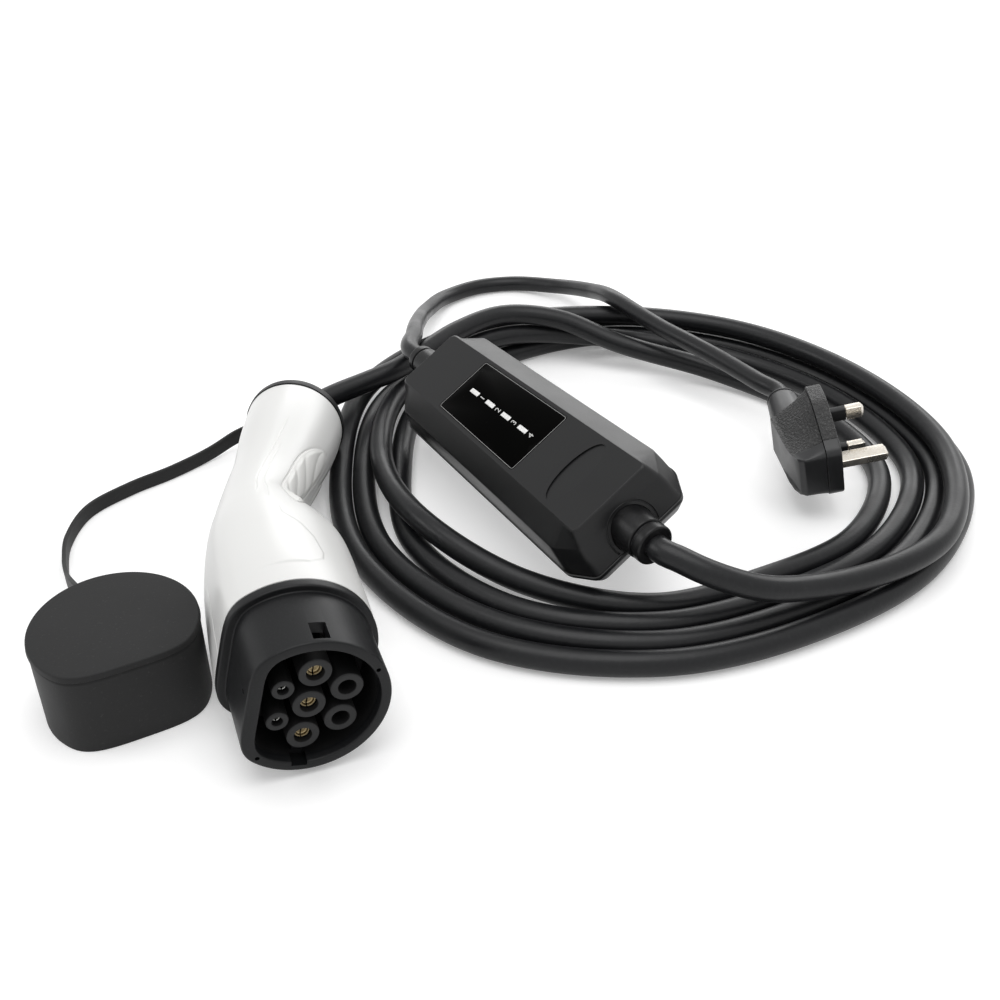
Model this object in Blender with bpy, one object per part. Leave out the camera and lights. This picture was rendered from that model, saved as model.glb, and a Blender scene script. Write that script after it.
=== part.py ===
# Portable electric-vehicle charger: vehicle connector with its cap, control box, mains plug and cords
import bpy
import bmesh
import numpy as np
from math import sin, cos, pi, radians, floor
from mathutils import Matrix, Vector

MM = 0.001
GAP = 0.3

# The layout's own corner is moved so that the row's origin is under the middle of the fixed pieces
SHIFT_X = 52.375
SHIFT_Y = -442.076
SHIFT_Z = 0.0

# Connector nose and flange, all in millimetres
NOSE_R = 31.0
NOSE_FLAT = 24.0
NOSE_TIP_X = 2.0
NOSE_WALL = 4.7
NOSE_FLAT_WALL = 6.0
NOSE_BORE_R = NOSE_R - NOSE_WALL
NOSE_BORE_FLAT = NOSE_FLAT - NOSE_FLAT_WALL
FLANGE_LIP = 3.0
FLANGE_FLAT_LIP = 4.0
FLANGE_R = NOSE_R + FLANGE_LIP
FLANGE_FLAT = NOSE_FLAT + FLANGE_FLAT_LIP
FLANGE_FRONT_X = -27.5
FLANGE_BACK_X = -31.5
CORNER_SOFT = 6.0
SLOT_X0 = -9.2
SLOT_X1 = -0.2
SLOT_HALF = 3.2

# Contact carrier and its sleeves
CARRIER_FRONT_X = -21.5
CARRIER_BACK_X = -27.2
POWER_SHARE = 0.24
SIGNAL_SHARE = 0.1635
POWER_SLEEVE_R = NOSE_BORE_R * POWER_SHARE
HOLE_SHARE = 0.54
POWER_HOLE_R = POWER_SLEEVE_R * HOLE_SHARE
SIGNAL_SLEEVE_R = NOSE_BORE_R * SIGNAL_SHARE
SIGNAL_HOLE_SHARE = 0.49
SIGNAL_HOLE_R = SIGNAL_SLEEVE_R * SIGNAL_HOLE_SHARE
TAIL_SHARE = 0.71
CONTACT_WALL = 0.7
CONTACT_BACK_X = -33.0
HOLE_DEPTH = 20.5
SLEEVE_MARGIN = 5.0
SIGNAL_MARGIN = 2.9
POWER_PITCH = NOSE_BORE_R - POWER_SLEEVE_R - SLEEVE_MARGIN
POWER_SPOTS = ((POWER_PITCH, 0.0), (0.0, 0.0), (-POWER_PITCH, 0.0))
BLANK_SPOTS = ((POWER_PITCH * 0.5, -POWER_PITCH * 0.88), (-POWER_PITCH * 0.5, -POWER_PITCH * 0.88))
SIGNAL_ROW = NOSE_BORE_FLAT - SIGNAL_SLEEVE_R - SIGNAL_MARGIN
SIGNAL_SPOTS = ((POWER_PITCH * 0.5, SIGNAL_ROW), (-POWER_PITCH * 0.5, SIGNAL_ROW))
RETAINER_WALL = 4.8
RETAINER_FLAT_WALL = 4.0
RETAINER_T = 3.5

# Handle sections from the flange to the end: spine x, spine z, tilt, up, flat, down, half width
HANDLE = (
    (FLANGE_BACK_X - GAP, 0.0, 0.0, FLANGE_R, FLANGE_FLAT, FLANGE_R, FLANGE_R),
    (-44.0, -0.5, 0.0, FLANGE_R - 0.2, FLANGE_FLAT - 0.1, FLANGE_R + 0.4, FLANGE_R - 0.4),
    (-57.0, -1.0, 0.0, FLANGE_R - 0.5, FLANGE_FLAT - 0.5, FLANGE_R + 0.5, FLANGE_R - 1.5),
    (-75.0, -2.0, 0.0, FLANGE_R - 2.0, FLANGE_FLAT - 0.5, FLANGE_R + 0.5, FLANGE_R - 3.5),
    (-90.0, -3.0, 2.0, 29.5, 26.8, 33.6, 28.6),
    (-102.0, -4.0, 7.0, 26.2, 25.6, 29.5, 26.3),
    (-112.0, -4.6, 13.0, 22.4, 23.6, 23.2, 24.0),
    (-123.0, -5.2, 19.0, 18.8, 21.4, 18.6, 21.6),
    (-139.5, -11.3, 23.0, 18.5, 23.0, 18.8, 20.6),
    (-156.0, -18.6, 23.6, 19.5, 24.0, 20.2, 21.2),
    (-180.0, -28.9, 23.5, 22.8, 27.0, 23.0, 23.2),
    (-194.0, -34.8, 23.4, 24.0, 28.0, 24.0, 24.0),
    (-206.0, -39.5, 23.4, 24.3, 28.5, 24.3, 24.3),
)
HANDLE_WALL = 2.4
END_RING_LIP = 0.5
END_RING_R = HANDLE[-1][3] + END_RING_LIP
END_RING_T = 5.0
SPIGOT_STEP = 0.6
SPIGOT_END_X = -40.0
GROMMET_R = 8.0
GROMMET_END = 11.3

# Finger insert on each side of the grip, along the sections and round the surface
INSERT_S0 = 5.2
INSERT_S1 = 9.7
INSERT_MID = 2.1
INSERT_LEAN = 0.42
INSERT_HALF = 0.46
INSERT_PROUD = 0.5
INSERT_DEEP = 0.8

# Cap, a D-shaped cup with its mouth on the floor
CAP_WALL = 1.7
CAP_R = NOSE_R + CAP_WALL + GAP
CAP_FLAT = NOSE_FLAT + CAP_WALL + GAP
CAP_H = 39.0

# Control box: facet length and half widths, chamfer, parting line and foot
BOX_TOP_WALL = 2.4
BOX_PART_Z = -23.0
BOX_FOOT_Z = -36.0
BOX_RINGS_UP = (
    (0.0, 74.9, 74.9, 17.0, 20.9, 17.3, 20.6, 9.8, 11.5, 3.0),
    (-0.7, 75.7, 75.7, 17.9, 21.8, 18.1, 21.5, 9.8, 11.5, 3.5),
    (-8.6, 77.4, 77.9, 19.3, 23.3, 27.8, 31.2, 10.5, 12.2, 2.0),
    (-15.0, 80.3, 80.8, 20.5, 24.5, 28.7, 32.1, 11.0, 12.8, 2.5),
)
BOX_RING_PART = (83.0, 83.5, 21.5, 25.5, 29.5, 32.9, 11.5, 13.3, 3.0)
BOX_RINGS_DOWN = (
    (-25.0, 82.8, 83.3, 21.3, 25.3, 29.3, 32.7, 11.5, 13.3, 3.0),
    (-31.5, 80.5, 81.0, 19.5, 23.5, 27.0, 30.4, 11.5, 13.3, 3.0),
    (-34.8, 77.5, 78.0, 17.5, 21.5, 24.5, 27.9, 11.5, 13.3, 3.0),
    (-36.0, 75.5, 76.0, 16.0, 20.0, 22.8, 26.2, 11.5, 13.3, 3.0),
)
PANEL_X0 = -42.1
PANEL_X1 = 23.4
PANEL_HALF = 16.6
PANEL_TAPER = 0.0264
PANEL_T = 0.55
PANEL_CORNER = 1.2
WINDOW_X = (-31.6, -18.2, -4.7, 9.0)
WINDOW_Y = 0.4
WINDOW_L = 6.5
WINDOW_W = 2.3
OVAL_X = 51.0
OVAL_HALF_X = 6.6
OVAL_HALF_Y = 17.4
OVAL_DEPTH = 0.45
BOARD_Z = -24.0
BOARD_T = 1.6
BOOT_SEAT_X = 70.5
BOARD_CLEAR = 6.5
BOARD_HALF_X = BOOT_SEAT_X - BOARD_CLEAR
BOARD_HALF_Y = 20.0
RELAY_X = (-30.0, 0.0)
RELAY_Y = (4.0, 19.0)
RELAY_TOP_Z = -8.5
MODULE_TOP_Z = -11.0
SUPPLY_X = (-60.0, -38.0)
SUPPLY_HALF_Y = 14.0
TERMINAL_X = (46.0, 60.0)
TERMINAL_HALF_Y = 15.0
SENSOR_X = 30.0
SENSOR_R = 10.5
SENSOR_HOLE_R = 4.5
SENSOR_TOP_Z = -10.0
POST_X = 54.0
POST_Y = 15.0
POST_R = 3.0
SCREW_X = 60.0
SCREW_Y = 14.0
SCREW_R = 2.8
SCREW_SUNK = 0.1
SCREW_T = 0.8
SCREW_WELL = 1.2

# Boots where the two cords leave the box
EV_BOOT_Z = -18.0
EV_BOOT_R = 10.3
EV_BOOT_TIP = 96.5
MAINS_BOOT_Z = -14.0
MAINS_BOOT_R = 8.0
MAINS_BOOT_TIP = -96.0

# Mains plug: base plate, pins and neck
PLUG_BASE_T = 7.3
PLUG_CORD_Y = 11.0
PLUG_EARTH_Y = -31.5
PLUG_HALF = 24.5
PLUG_EARTH_HALF = 12.5
PLUG_SLOPE_Y = -4.0
NECK_X = -15.0
NECK_R = 9.5
NECK_END_Y = 37.0
PIN_SPREAD = 11.1
PIN_T = 4.0
PIN_W = 6.35
PIN_LEN = 17.7
EARTH_Y = -22.2
EARTH_W = 8.0
EARTH_LEN = 22.7
SLEEVE_LEN = 9.0
SLEEVE_WALL = 0.6

# Cords
EV_CORD_R = 5.75
MAINS_CORD_R = 4.8
STRAP_W = 6.0
STRAP_T = 2.0

# Where each group lies: origin, heading, lift and roll
CONNECTOR_AT = (-69.8, 322.0, FLANGE_R + 0.05)
CONNECTOR_TURN = (-69.9, -0.3, 76.0)
CAP_TOUCH = (-120.01, 372.91)
CAP_TOUCH_TURN = 20.05
CAP_AT = (CAP_TOUCH[0] - CAP_R * cos(radians(CAP_TOUCH_TURN)),
          CAP_TOUCH[1] - CAP_R * sin(radians(CAP_TOUCH_TURN)), 0.0)
CAP_TURN = -61.8
BOX_AT = (5.0, 485.3, 56.0)
BOX_TURN = (-56.6, 29.7)
PLUG_AT = (162.2, 512.2, 32.0)
PLUG_TURN = (1.0, 13.0, 2.5)

# Middle of the coil and its turns: angle in degrees, radius and height of the cord's centre
COIL_X = 68.0
COIL_Y = 520.0
EV_LEAD = ((74.6, 402.4, 39.2), (83.5, 398.4, 36.8), (94.5, 396.6, 33.0), (109.5, 397.6, 27.6))
EV_TURNS = (
    (-60, 131.5, 21.0), (-30, 153.0, 18.4), (0, 157.0, 18.2), (30, 151.5, 18.0),
    (60, 151.0, 18.0), (90, 151.5, 18.0), (120, 155.0, 18.8), (150, 161.8, 11.5),
    (180, 149.4, 5.8), (210, 151.8, 5.8), (240, 152.6, 5.8), (270, 144.8, 5.8),
    (300, 140.4, 5.8), (330, 152.2, 5.8), (360, 166.4, 5.8), (390, 164.0, 5.8),
    (420, 162.5, 5.8), (450, 161.5, 5.8), (480, 152.0, 5.8), (510, 149.8, 5.8),
    (540, 137.6, 5.8), (570, 139.8, 5.8), (600, 138.6, 5.8), (630, 132.8, 5.8),
    (660, 128.1, 5.8), (690, 139.9, 5.8), (720, 154.2, 5.8), (750, 151.8, 5.8),
    (780, 150.4, 5.8), (810, 149.2, 5.8), (840, 138.0, 5.8), (870, 129.6, 5.8),
    (900, 118.8, 5.8), (930, 125.0, 5.8), (960, 126.4, 5.8), (990, 120.6, 5.8),
    (1020, 115.8, 5.8), (1050, 127.6, 5.8), (1080, 142.0, 5.8), (1110, 139.4, 5.8),
    (1140, 138.0, 5.8), (1170, 135.4, 11.0), (1200, 138.6, 19.4), (1230, 139.4, 14.4),
    (1260, 128.2, 14.6), (1290, 121.4, 18.6), (1320, 111.6, 9.5), (1350, 108.0, 5.8),
    (1380, 103.0, 5.8), (1410, 115.0, 5.8), (1440, 125.0, 5.8), (1470, 119.0, 5.8),
    (1500, 114.0, 8.5), (1530, 118.5, 17.0),
)
EV_TAIL = (
    (33.0, 648.0, 27.5), (2.0, 645.5, 31.2), (-24.0, 627.0, 30.4), (-42.0, 606.0, 28.4),
    (-57.5, 587.5, 26.6), (-73.0, 576.0, 25.2), (-87.0, 565.0, 24.6), (-98.0, 554.0, 24.0),
)
MAINS_MIDDLE = (
    (-47.8, 607.8, 37.5), (-48.5, 650.6, 24.0), (-45.1, 692.7, 11.5), (-35.6, 721.8, 5.8),
    (-13.2, 740.3, 4.9), (7.7, 744.9, 4.9), (36.0, 734.4, 8.0), (56.7, 704.2, 19.0),
    (68.6, 667.6, 31.0), (79.7, 647.0, 32.0), (92.8, 627.8, 31.4), (106.7, 610.7, 31.0),
    (118.7, 596.1, 30.4), (129.2, 581.6, 30.0), (138.0, 567.8, 30.2),
)
STRAP_ROUTE = (
    (CAP_AT[0] - 0.603 * (CAP_R + 0.84), CAP_AT[1] + 0.798 * (CAP_R + 0.84), 30.0),
    (-175.0, 393.0, 28.5), (-182.0, 404.0, 23.0), (-190.5, 420.0, 14.0),
    (-199.0, 440.0, 7.0), (-204.5, 462.0, 4.2), (-201.5, 486.0, 4.0), (-186.0, 505.5, 4.0),
    (-168.0, 521.0, 4.0), (-151.0, 538.0, 5.0), (-139.5, 547.5, 8.5), (-130.0, 548.4, 12.8),
    (-124.2, 543.4, 17.6), (-120.0, 538.8, 21.0), (-115.28, 536.98, 22.3),
)


def smooth_min(a, b, k):
    # The smaller of two heights, rounded over where they meet
    h = max(k - abs(a - b), 0.0) / k
    return min(a, b) - h * h * k * 0.25


def make_material(name, colour, rough, metal):
    mat = bpy.data.materials.new(name)
    mat.use_nodes = True
    shader = mat.node_tree.nodes["Principled BSDF"]
    shader.inputs["Base Color"].default_value = (colour[0], colour[1], colour[2], 1.0)
    shader.inputs["Roughness"].default_value = rough
    shader.inputs["Metallic"].default_value = metal
    return mat


LOOKS = {
    "white": ((0.84, 0.84, 0.82), 0.32, 0.0),
    "rubber": ((0.022, 0.022, 0.024), 0.55, 0.0),
    "black": ((0.024, 0.025, 0.028), 0.38, 0.0),
    "casing": ((0.028, 0.029, 0.031), 0.42, 0.0),
    "panel": ((0.012, 0.012, 0.011), 0.12, 0.0),
    "window": ((0.80, 0.80, 0.78), 0.35, 0.0),
    "brass": ((0.42, 0.36, 0.22), 0.30, 1.0),
    "nickel": ((0.72, 0.66, 0.58), 0.25, 1.0),
    "silver": ((0.75, 0.75, 0.74), 0.22, 1.0),
    "board": ((0.03, 0.16, 0.07), 0.45, 0.0),
    "grey": ((0.20, 0.20, 0.21), 0.50, 0.0),
    "steel": ((0.55, 0.55, 0.56), 0.35, 1.0),
    "cream": ((0.70, 0.67, 0.58), 0.40, 0.0),
}


def add_mesh(name, verts, faces, parent, look, smooth=True):
    mesh = bpy.data.meshes.new(name)
    mesh.from_pydata([(v[0] * MM, v[1] * MM, v[2] * MM) for v in verts], [], faces)
    bm = bmesh.new()
    bm.from_mesh(mesh)
    bmesh.ops.remove_doubles(bm, verts=bm.verts, dist=0.000001)
    bmesh.ops.recalc_face_normals(bm, faces=bm.faces)
    bm.to_mesh(mesh)
    bm.free()
    if smooth:
        mesh.shade_smooth()
        mesh.set_sharp_from_angle(angle=radians(35))
    obj = bpy.data.objects.new(name, mesh)
    bpy.context.scene.collection.objects.link(obj)
    if parent is not None:
        obj.parent = parent
    if look is not None:
        colour, rough, metal = LOOKS[look]
        mesh.materials.append(make_material(name + "_mat", colour, rough, metal))
    return obj


def helper(obj):
    obj.hide_render = True
    obj.display_type = "WIRE"
    return obj


def apply_tool(obj, tool, operation):
    mod = obj.modifiers.new(operation.lower(), "BOOLEAN")
    mod.operation = operation
    mod.solver = "EXACT"
    mod.object = tool
    return mod


def loft(rings, closed=False):
    # Rings of equal count joined by a skin, capped at both ends or closed on themselves
    count = len(rings)
    n = len(rings[0])
    verts = [p for ring in rings for p in ring]
    faces = []
    last = count if closed else count - 1
    for i in range(last):
        a = i * n
        b = ((i + 1) % count) * n
        for k in range(n):
            m = (k + 1) % n
            faces.append((a + k, a + m, b + m, b + k))
    if not closed:
        faces.append(tuple(range(n - 1, -1, -1)))
        faces.append(tuple(range((count - 1) * n, count * n)))
    return verts, faces


def merge(parts):
    verts = []
    faces = []
    for part_verts, part_faces in parts:
        base = len(verts)
        verts.extend(part_verts)
        faces.extend(tuple(i + base for i in face) for face in part_faces)
    return verts, faces


def revolve(profile, n=32, closed=False, centre=(0.0, 0.0), axis="X"):
    # A profile of distance along and radius, turned about the axis
    rings = []
    for along, radius in profile:
        ring = []
        for k in range(n):
            a = 2 * pi * (k + 0.5) / n
            u = centre[0] + radius * cos(a)
            v = centre[1] + radius * sin(a)
            if axis == "X":
                ring.append((along, u, v))
            elif axis == "Y":
                ring.append((u, along, v))
            else:
                ring.append((u, v, along))
        rings.append(ring)
    return loft(rings, closed)


def box(x0, x1, y0, y1, z0, z1):
    low = [(x0, y0, z0), (x1, y0, z0), (x1, y1, z0), (x0, y1, z0)]
    high = [(x0, y0, z1), (x1, y0, z1), (x1, y1, z1), (x0, y1, z1)]
    return loft([low, high])


def d_outline(radius, flat, n=36, soft=CORNER_SOFT):
    # A circle cut by one flat on its second coordinate's plus side, with softened corners
    pts = []
    for k in range(n):
        a = 2 * pi * (k + 0.5) / n
        pts.append((radius * sin(a), smooth_min(radius * cos(a), flat, soft)))
    return pts


def d_ring(x, radius, flat):
    return [(x, p, q) for p, q in d_outline(radius, flat)]


def turned_axes(heading, lift, roll):
    h = radians(heading)
    e = radians(lift)
    r = radians(roll)
    ax = Vector((cos(h) * cos(e), sin(h) * cos(e), sin(e)))
    side = Vector((-sin(h), cos(h), 0.0))
    top = ax.cross(side)
    ay = side * cos(r) + top * sin(r)
    az = top * cos(r) - side * sin(r)
    return ax, ay, az


def box_axes(yaw, roll):
    h = radians(yaw)
    r = radians(roll)
    ax = Vector((cos(h), sin(h), 0.0))
    side = Vector((-sin(h), cos(h), 0.0))
    up = Vector((0.0, 0.0, 1.0))
    ay = side * cos(r) + up * sin(r)
    az = up * cos(r) - side * sin(r)
    return ax, ay, az


def group(name, at, axes):
    empty = bpy.data.objects.new(name, None)
    bpy.context.scene.collection.objects.link(empty)
    ax, ay, az = axes
    place = Matrix(((ax[0], ay[0], az[0], (at[0] + SHIFT_X) * MM),
                    (ax[1], ay[1], az[1], (at[1] + SHIFT_Y) * MM),
                    (ax[2], ay[2], az[2], (at[2] + SHIFT_Z) * MM),
                    (0.0, 0.0, 0.0, 1.0)))
    empty.location = place.to_translation()
    empty.rotation_euler = place.to_euler()
    return empty


def spot(at, axes, p):
    # A group's own point in the layout, in millimetres
    ax, ay, az = axes
    return tuple(at[i] + ax[i] * p[0] + ay[i] * p[1] + az[i] * p[2] for i in range(3))


def smooth_route(points):
    # A cubic curve through the points, its slopes weighted by the spacing on either side
    p = np.array(points, dtype=float)
    gap = np.linalg.norm(np.diff(p, axis=0), axis=1)
    step = np.diff(p, axis=0) / gap[:, None]
    slope = np.zeros_like(p)
    slope[0] = step[0]
    slope[-1] = step[-1]
    for i in range(1, len(p) - 1):
        slope[i] = (step[i - 1] * gap[i] + step[i] * gap[i - 1]) / (gap[i - 1] + gap[i])

    def at(t):
        i = int(min(max(floor(t), 0), len(p) - 2))
        u = t - i
        h = gap[i]
        a = 2 * u ** 3 - 3 * u * u + 1
        b = (u ** 3 - 2 * u * u + u) * h
        c = 3 * u * u - 2 * u ** 3
        d = (u ** 3 - u * u) * h
        return p[i] * a + slope[i] * b + p[i + 1] * c + slope[i + 1] * d
    return at


def add_cord(name, points, radius, look, resolution):
    curve = bpy.data.curves.new(name, "CURVE")
    curve.dimensions = "3D"
    curve.bevel_depth = radius * MM
    curve.bevel_resolution = resolution
    curve.use_fill_caps = True
    line = curve.splines.new("POLY")
    line.points.add(len(points) - 1)
    for i, q in enumerate(points):
        line.points[i].co = ((q[0] + SHIFT_X) * MM, (q[1] + SHIFT_Y) * MM, (q[2] + SHIFT_Z) * MM, 1.0)
    obj = bpy.data.objects.new(name, curve)
    bpy.context.scene.collection.objects.link(obj)
    colour, rough, metal = LOOKS[look]
    curve.materials.append(make_material(name + "_mat", colour, rough, metal))
    return obj


def handle_section(s):
    # The handle's section values at a place between its stations
    i = int(min(max(floor(s), 0), len(HANDLE) - 2))
    u = s - i
    row = np.array(HANDLE, dtype=float)
    a = row[max(i - 1, 0)]
    b = row[i]
    c = row[i + 1]
    d = row[min(i + 2, len(HANDLE) - 1)]
    return 0.5 * (2 * b + (c - a) * u + (2 * a - 5 * b + 4 * c - d) * u * u + (3 * b - a - 3 * c + d) * u ** 3)


def handle_point(s, angle, inset, side):
    # A point of the handle's skin, its angle counted from the top down one side
    cx, cz, tilt, up, flat, down, half = handle_section(s)
    t = radians(tilt)
    y = GAP * 0.5 + (half - inset - GAP * 0.5) * sin(angle)
    if cos(angle) > 0:
        v = smooth_min((up - inset) * cos(angle), flat - inset, CORNER_SOFT)
    else:
        v = (down - inset) * cos(angle)
    return (cx - v * sin(t), y * side, cz + v * cos(t))


def handle_half(side):
    # Half of the hollow handle: outer skin, inner skin and the strips that join them
    stations = [k * (len(HANDLE) - 1) / 20 for k in range(21)]
    arc = [pi * k / 14 for k in range(15)]
    rings = []
    for s in stations:
        outer = [handle_point(s, a, 0.0, side) for a in arc]
        inner = [handle_point(s, a, HANDLE_WALL, side) for a in arc]
        rings.append(outer + inner[::-1])
    n = len(rings[0])
    m = len(arc)
    verts = [p for ring in rings for p in ring]
    faces = []
    for i in range(len(rings) - 1):
        for k in range(n):
            j = (k + 1) % n
            faces.append((i * n + k, i * n + j, (i + 1) * n + j, (i + 1) * n + k))
    for base in (0, (len(rings) - 1) * n):
        for k in range(m - 1):
            faces.append((base + k, base + k + 1, base + n - 2 - k, base + n - 1 - k))
    return verts, faces


def insert_patch(side, low, high, grow):
    # A leaf-shaped plate that follows the handle's skin
    nu = 12
    nv = 5
    sheets = []
    for inset in (low, high):
        sheet = []
        for i in range(nu + 1):
            u = i / nu
            s = INSERT_S0 - grow * 0.12 + (INSERT_S1 - INSERT_S0 + grow * 0.24) * u
            half = INSERT_HALF * max(sin(pi * (0.04 + 0.92 * u)), 0.0) ** 0.7 + grow * 0.05
            mid = INSERT_MID + INSERT_LEAN * u
            row = [handle_point(s, mid + half * (2 * j / nv - 1), inset, side) for j in range(nv + 1)]
            sheet.append(row)
        sheets.append(sheet)
    rings = []
    for i in range(nu + 1):
        rings.append(sheets[0][i] + sheets[1][i][::-1])
    n = len(rings[0])
    verts = [p for ring in rings for p in ring]
    faces = []
    for i in range(nu):
        for k in range(n):
            j = (k + 1) % n
            faces.append((i * n + k, i * n + j, (i + 1) * n + j, (i + 1) * n + k))
    for base in (0, nu * n):
        for k in range(nv):
            faces.append((base + k, base + k + 1, base + n - 2 - k, base + n - 1 - k))
    return verts, faces


def box_ring(z, x0, x1, a0, a1, b0, b1, e0, e1, r, inset=0.0):
    # An eight-cornered outline of the box with rounded corners
    x0 -= inset
    x1 -= inset
    a0 -= inset * 0.6
    a1 -= inset * 0.6
    b0 -= inset
    b1 -= inset
    corners = [(x1, -a1), (x1, a1), (x1 - e1, b1), (-x0 + e0, b0),
               (-x0, a0), (-x0, -a0), (-x0 + e0, -b0), (x1 - e1, -b1)]
    ring = []
    for k in range(8):
        here = Vector(corners[k])
        back = (Vector(corners[k - 1]) - here).normalized()
        on = (Vector(corners[(k + 1) % 8]) - here).normalized()
        first = here + back * r
        last = here + on * r
        middle = (first + last) * 0.25 + here * 0.5
        for p in (first, middle, last):
            ring.append((p[0], p[1], z))
    return ring


def panel_outline(grow):
    # The label panel widens with the facet; its corners are cut by a short edge
    x0 = PANEL_X0 - grow
    x1 = PANEL_X1 + grow
    mid = 0.5 * (PANEL_X0 + PANEL_X1)
    h0 = PANEL_HALF + grow + PANEL_TAPER * (x0 - mid)
    h1 = PANEL_HALF + grow + PANEL_TAPER * (x1 - mid)
    c = PANEL_CORNER
    return [(x0 + c, -h0), (x1 - c, -h1), (x1, -h1 + c), (x1, h1 - c),
            (x1 - c, h1), (x0 + c, h0), (x0, h0 - c), (x0, -h0 + c)]


def plate(outline, z0, z1):
    return loft([[(p[0], p[1], z0) for p in outline], [(p[0], p[1], z1) for p in outline]])


def plug_outline(inset):
    # The base plate's outline in its own plane, first the earth end, then the cord end
    half = PLUG_HALF - inset
    end = PLUG_CORD_Y - inset
    tip = PLUG_EARTH_Y + inset
    tip_half = PLUG_EARTH_HALF - inset * 0.8
    side = [(tip, tip_half - 3.0), (tip + 0.9, tip_half - 0.9), (tip + 3.0, tip_half + 0.9),
            (-16.0, 0.5 * (half + tip_half) + 1.0), (PLUG_SLOPE_Y - 3.0, half - 1.2), (PLUG_SLOPE_Y, half),
            (end - 4.0, half), (end - 1.2, half - 1.2), (end, half - 4.0)]
    return side + [(y, -z) for y, z in side[::-1]]


def plug_body_ring(depth):
    # A ring of the wedge behind the plate: it narrows to the neck's width and slopes at the back
    inset = 0.6 + 1.6 * max(depth - 0.85, 0.0) / 0.15
    narrow = min(1.0, depth * 1.15) ** 0.75
    ring = []
    for y, z in plug_outline(inset):
        back = -17.0 - 9.0 * (y - PLUG_EARTH_Y) / (PLUG_CORD_Y - PLUG_EARTH_Y)
        x = -PLUG_BASE_T + GAP + (back + PLUG_BASE_T - GAP) * depth
        slim = 9.6 + 1.2 * (PLUG_CORD_Y - y) / 42.5
        sign = 1.0 if z > 0 else -1.0
        width = abs(z) + (min(abs(z), slim) - abs(z)) * narrow
        ring.append((x, y, sign * width))
    return ring


def pin_block(x0, x1, y, z, half_y, half_z, chamfer):
    # A flat pin with a bevelled tip
    rings = []
    for x, cut in ((x0, 0.0), (x1 - chamfer, 0.0), (x1, chamfer)):
        hy = half_y - cut
        hz = half_z - cut
        rings.append([(x, y - hy, z - hz), (x, y + hy, z - hz), (x, y + hy, z + hz), (x, y - hy, z + hz)])
    return loft(rings)


def stepped_pin(y, z, half_y, half_z, neck):
    rings = []
    steps = ((-PLUG_BASE_T + 1.0, neck), (SLEEVE_LEN + GAP, neck), (SLEEVE_LEN + GAP, 0.0),
             (PIN_LEN - 1.2, 0.0), (PIN_LEN, 1.2))
    for x, cut in steps:
        hy = half_y - cut
        hz = half_z - cut
        rings.append([(x, y - hy, z - hz), (x, y + hy, z - hz), (x, y + hy, z + hz), (x, y - hy, z + hz)])
    return loft(rings)


def square_tube(x0, x1, y, z, half_y, half_z, wall):
    rings = []
    for x, cut in ((x0, 0.0), (x1, 0.0), (x1, wall), (x0, wall)):
        hy = half_y - cut
        hz = half_z - cut
        rings.append([(x, y - hy, z - hz), (x, y + hy, z - hz), (x, y + hy, z + hz), (x, y - hy, z + hz)])
    return loft(rings, True)


def band(route, width, thick):
    # A flat strap on edge along the route
    at = smooth_route(route)
    count = 2 * (len(route) - 1)
    pts = [Vector(at(k / 2)) for k in range(count + 1)]
    rings = []
    for k, p in enumerate(pts):
        ahead = pts[min(k + 1, count)] - pts[max(k - 1, 0)]
        ahead.normalize()
        side = ahead.cross(Vector((0.0, 0.0, 1.0))).normalized()
        up = side.cross(ahead).normalized()
        ring = []
        for a, b in ((-1, -0.8), (-1, 0.8), (-0.6, 1), (0.6, 1), (1, 0.8), (1, -0.8), (0.6, -1), (-0.6, -1)):
            q = p + side * (a * thick * 0.5) + up * (b * width * 0.5)
            ring.append((q[0] + SHIFT_X, q[1] + SHIFT_Y, q[2] + SHIFT_Z))
        rings.append(ring)
    return loft(rings)


for old in list(bpy.data.objects):
    bpy.data.objects.remove(old, do_unlink=True)

connector_axes = turned_axes(*CONNECTOR_TURN)
cap_axes = turned_axes(CAP_TURN, 0.0, 0.0)
control_axes = box_axes(*BOX_TURN)
plug_axes = turned_axes(*PLUG_TURN)
connector = group("connector_frame", CONNECTOR_AT, connector_axes)
cap_frame = group("cap_frame", CAP_AT, cap_axes)
control = group("control_frame", BOX_AT, control_axes)
plug = group("plug_frame", PLUG_AT, plug_axes)

# Frame at the handle's end, its first axis along the cord
end_tilt = radians(HANDLE[-1][2])
end_at = spot(CONNECTOR_AT, connector_axes, (HANDLE[-1][0], 0.0, HANDLE[-1][1]))
end_x = -(connector_axes[0] * cos(end_tilt) + connector_axes[2] * sin(end_tilt))
end_y = connector_axes[1].copy()
end_z = end_x.cross(end_y)
end_axes = (end_x, end_y, end_z)
grip_end = group("grip_end_frame", end_at, end_axes)

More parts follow.
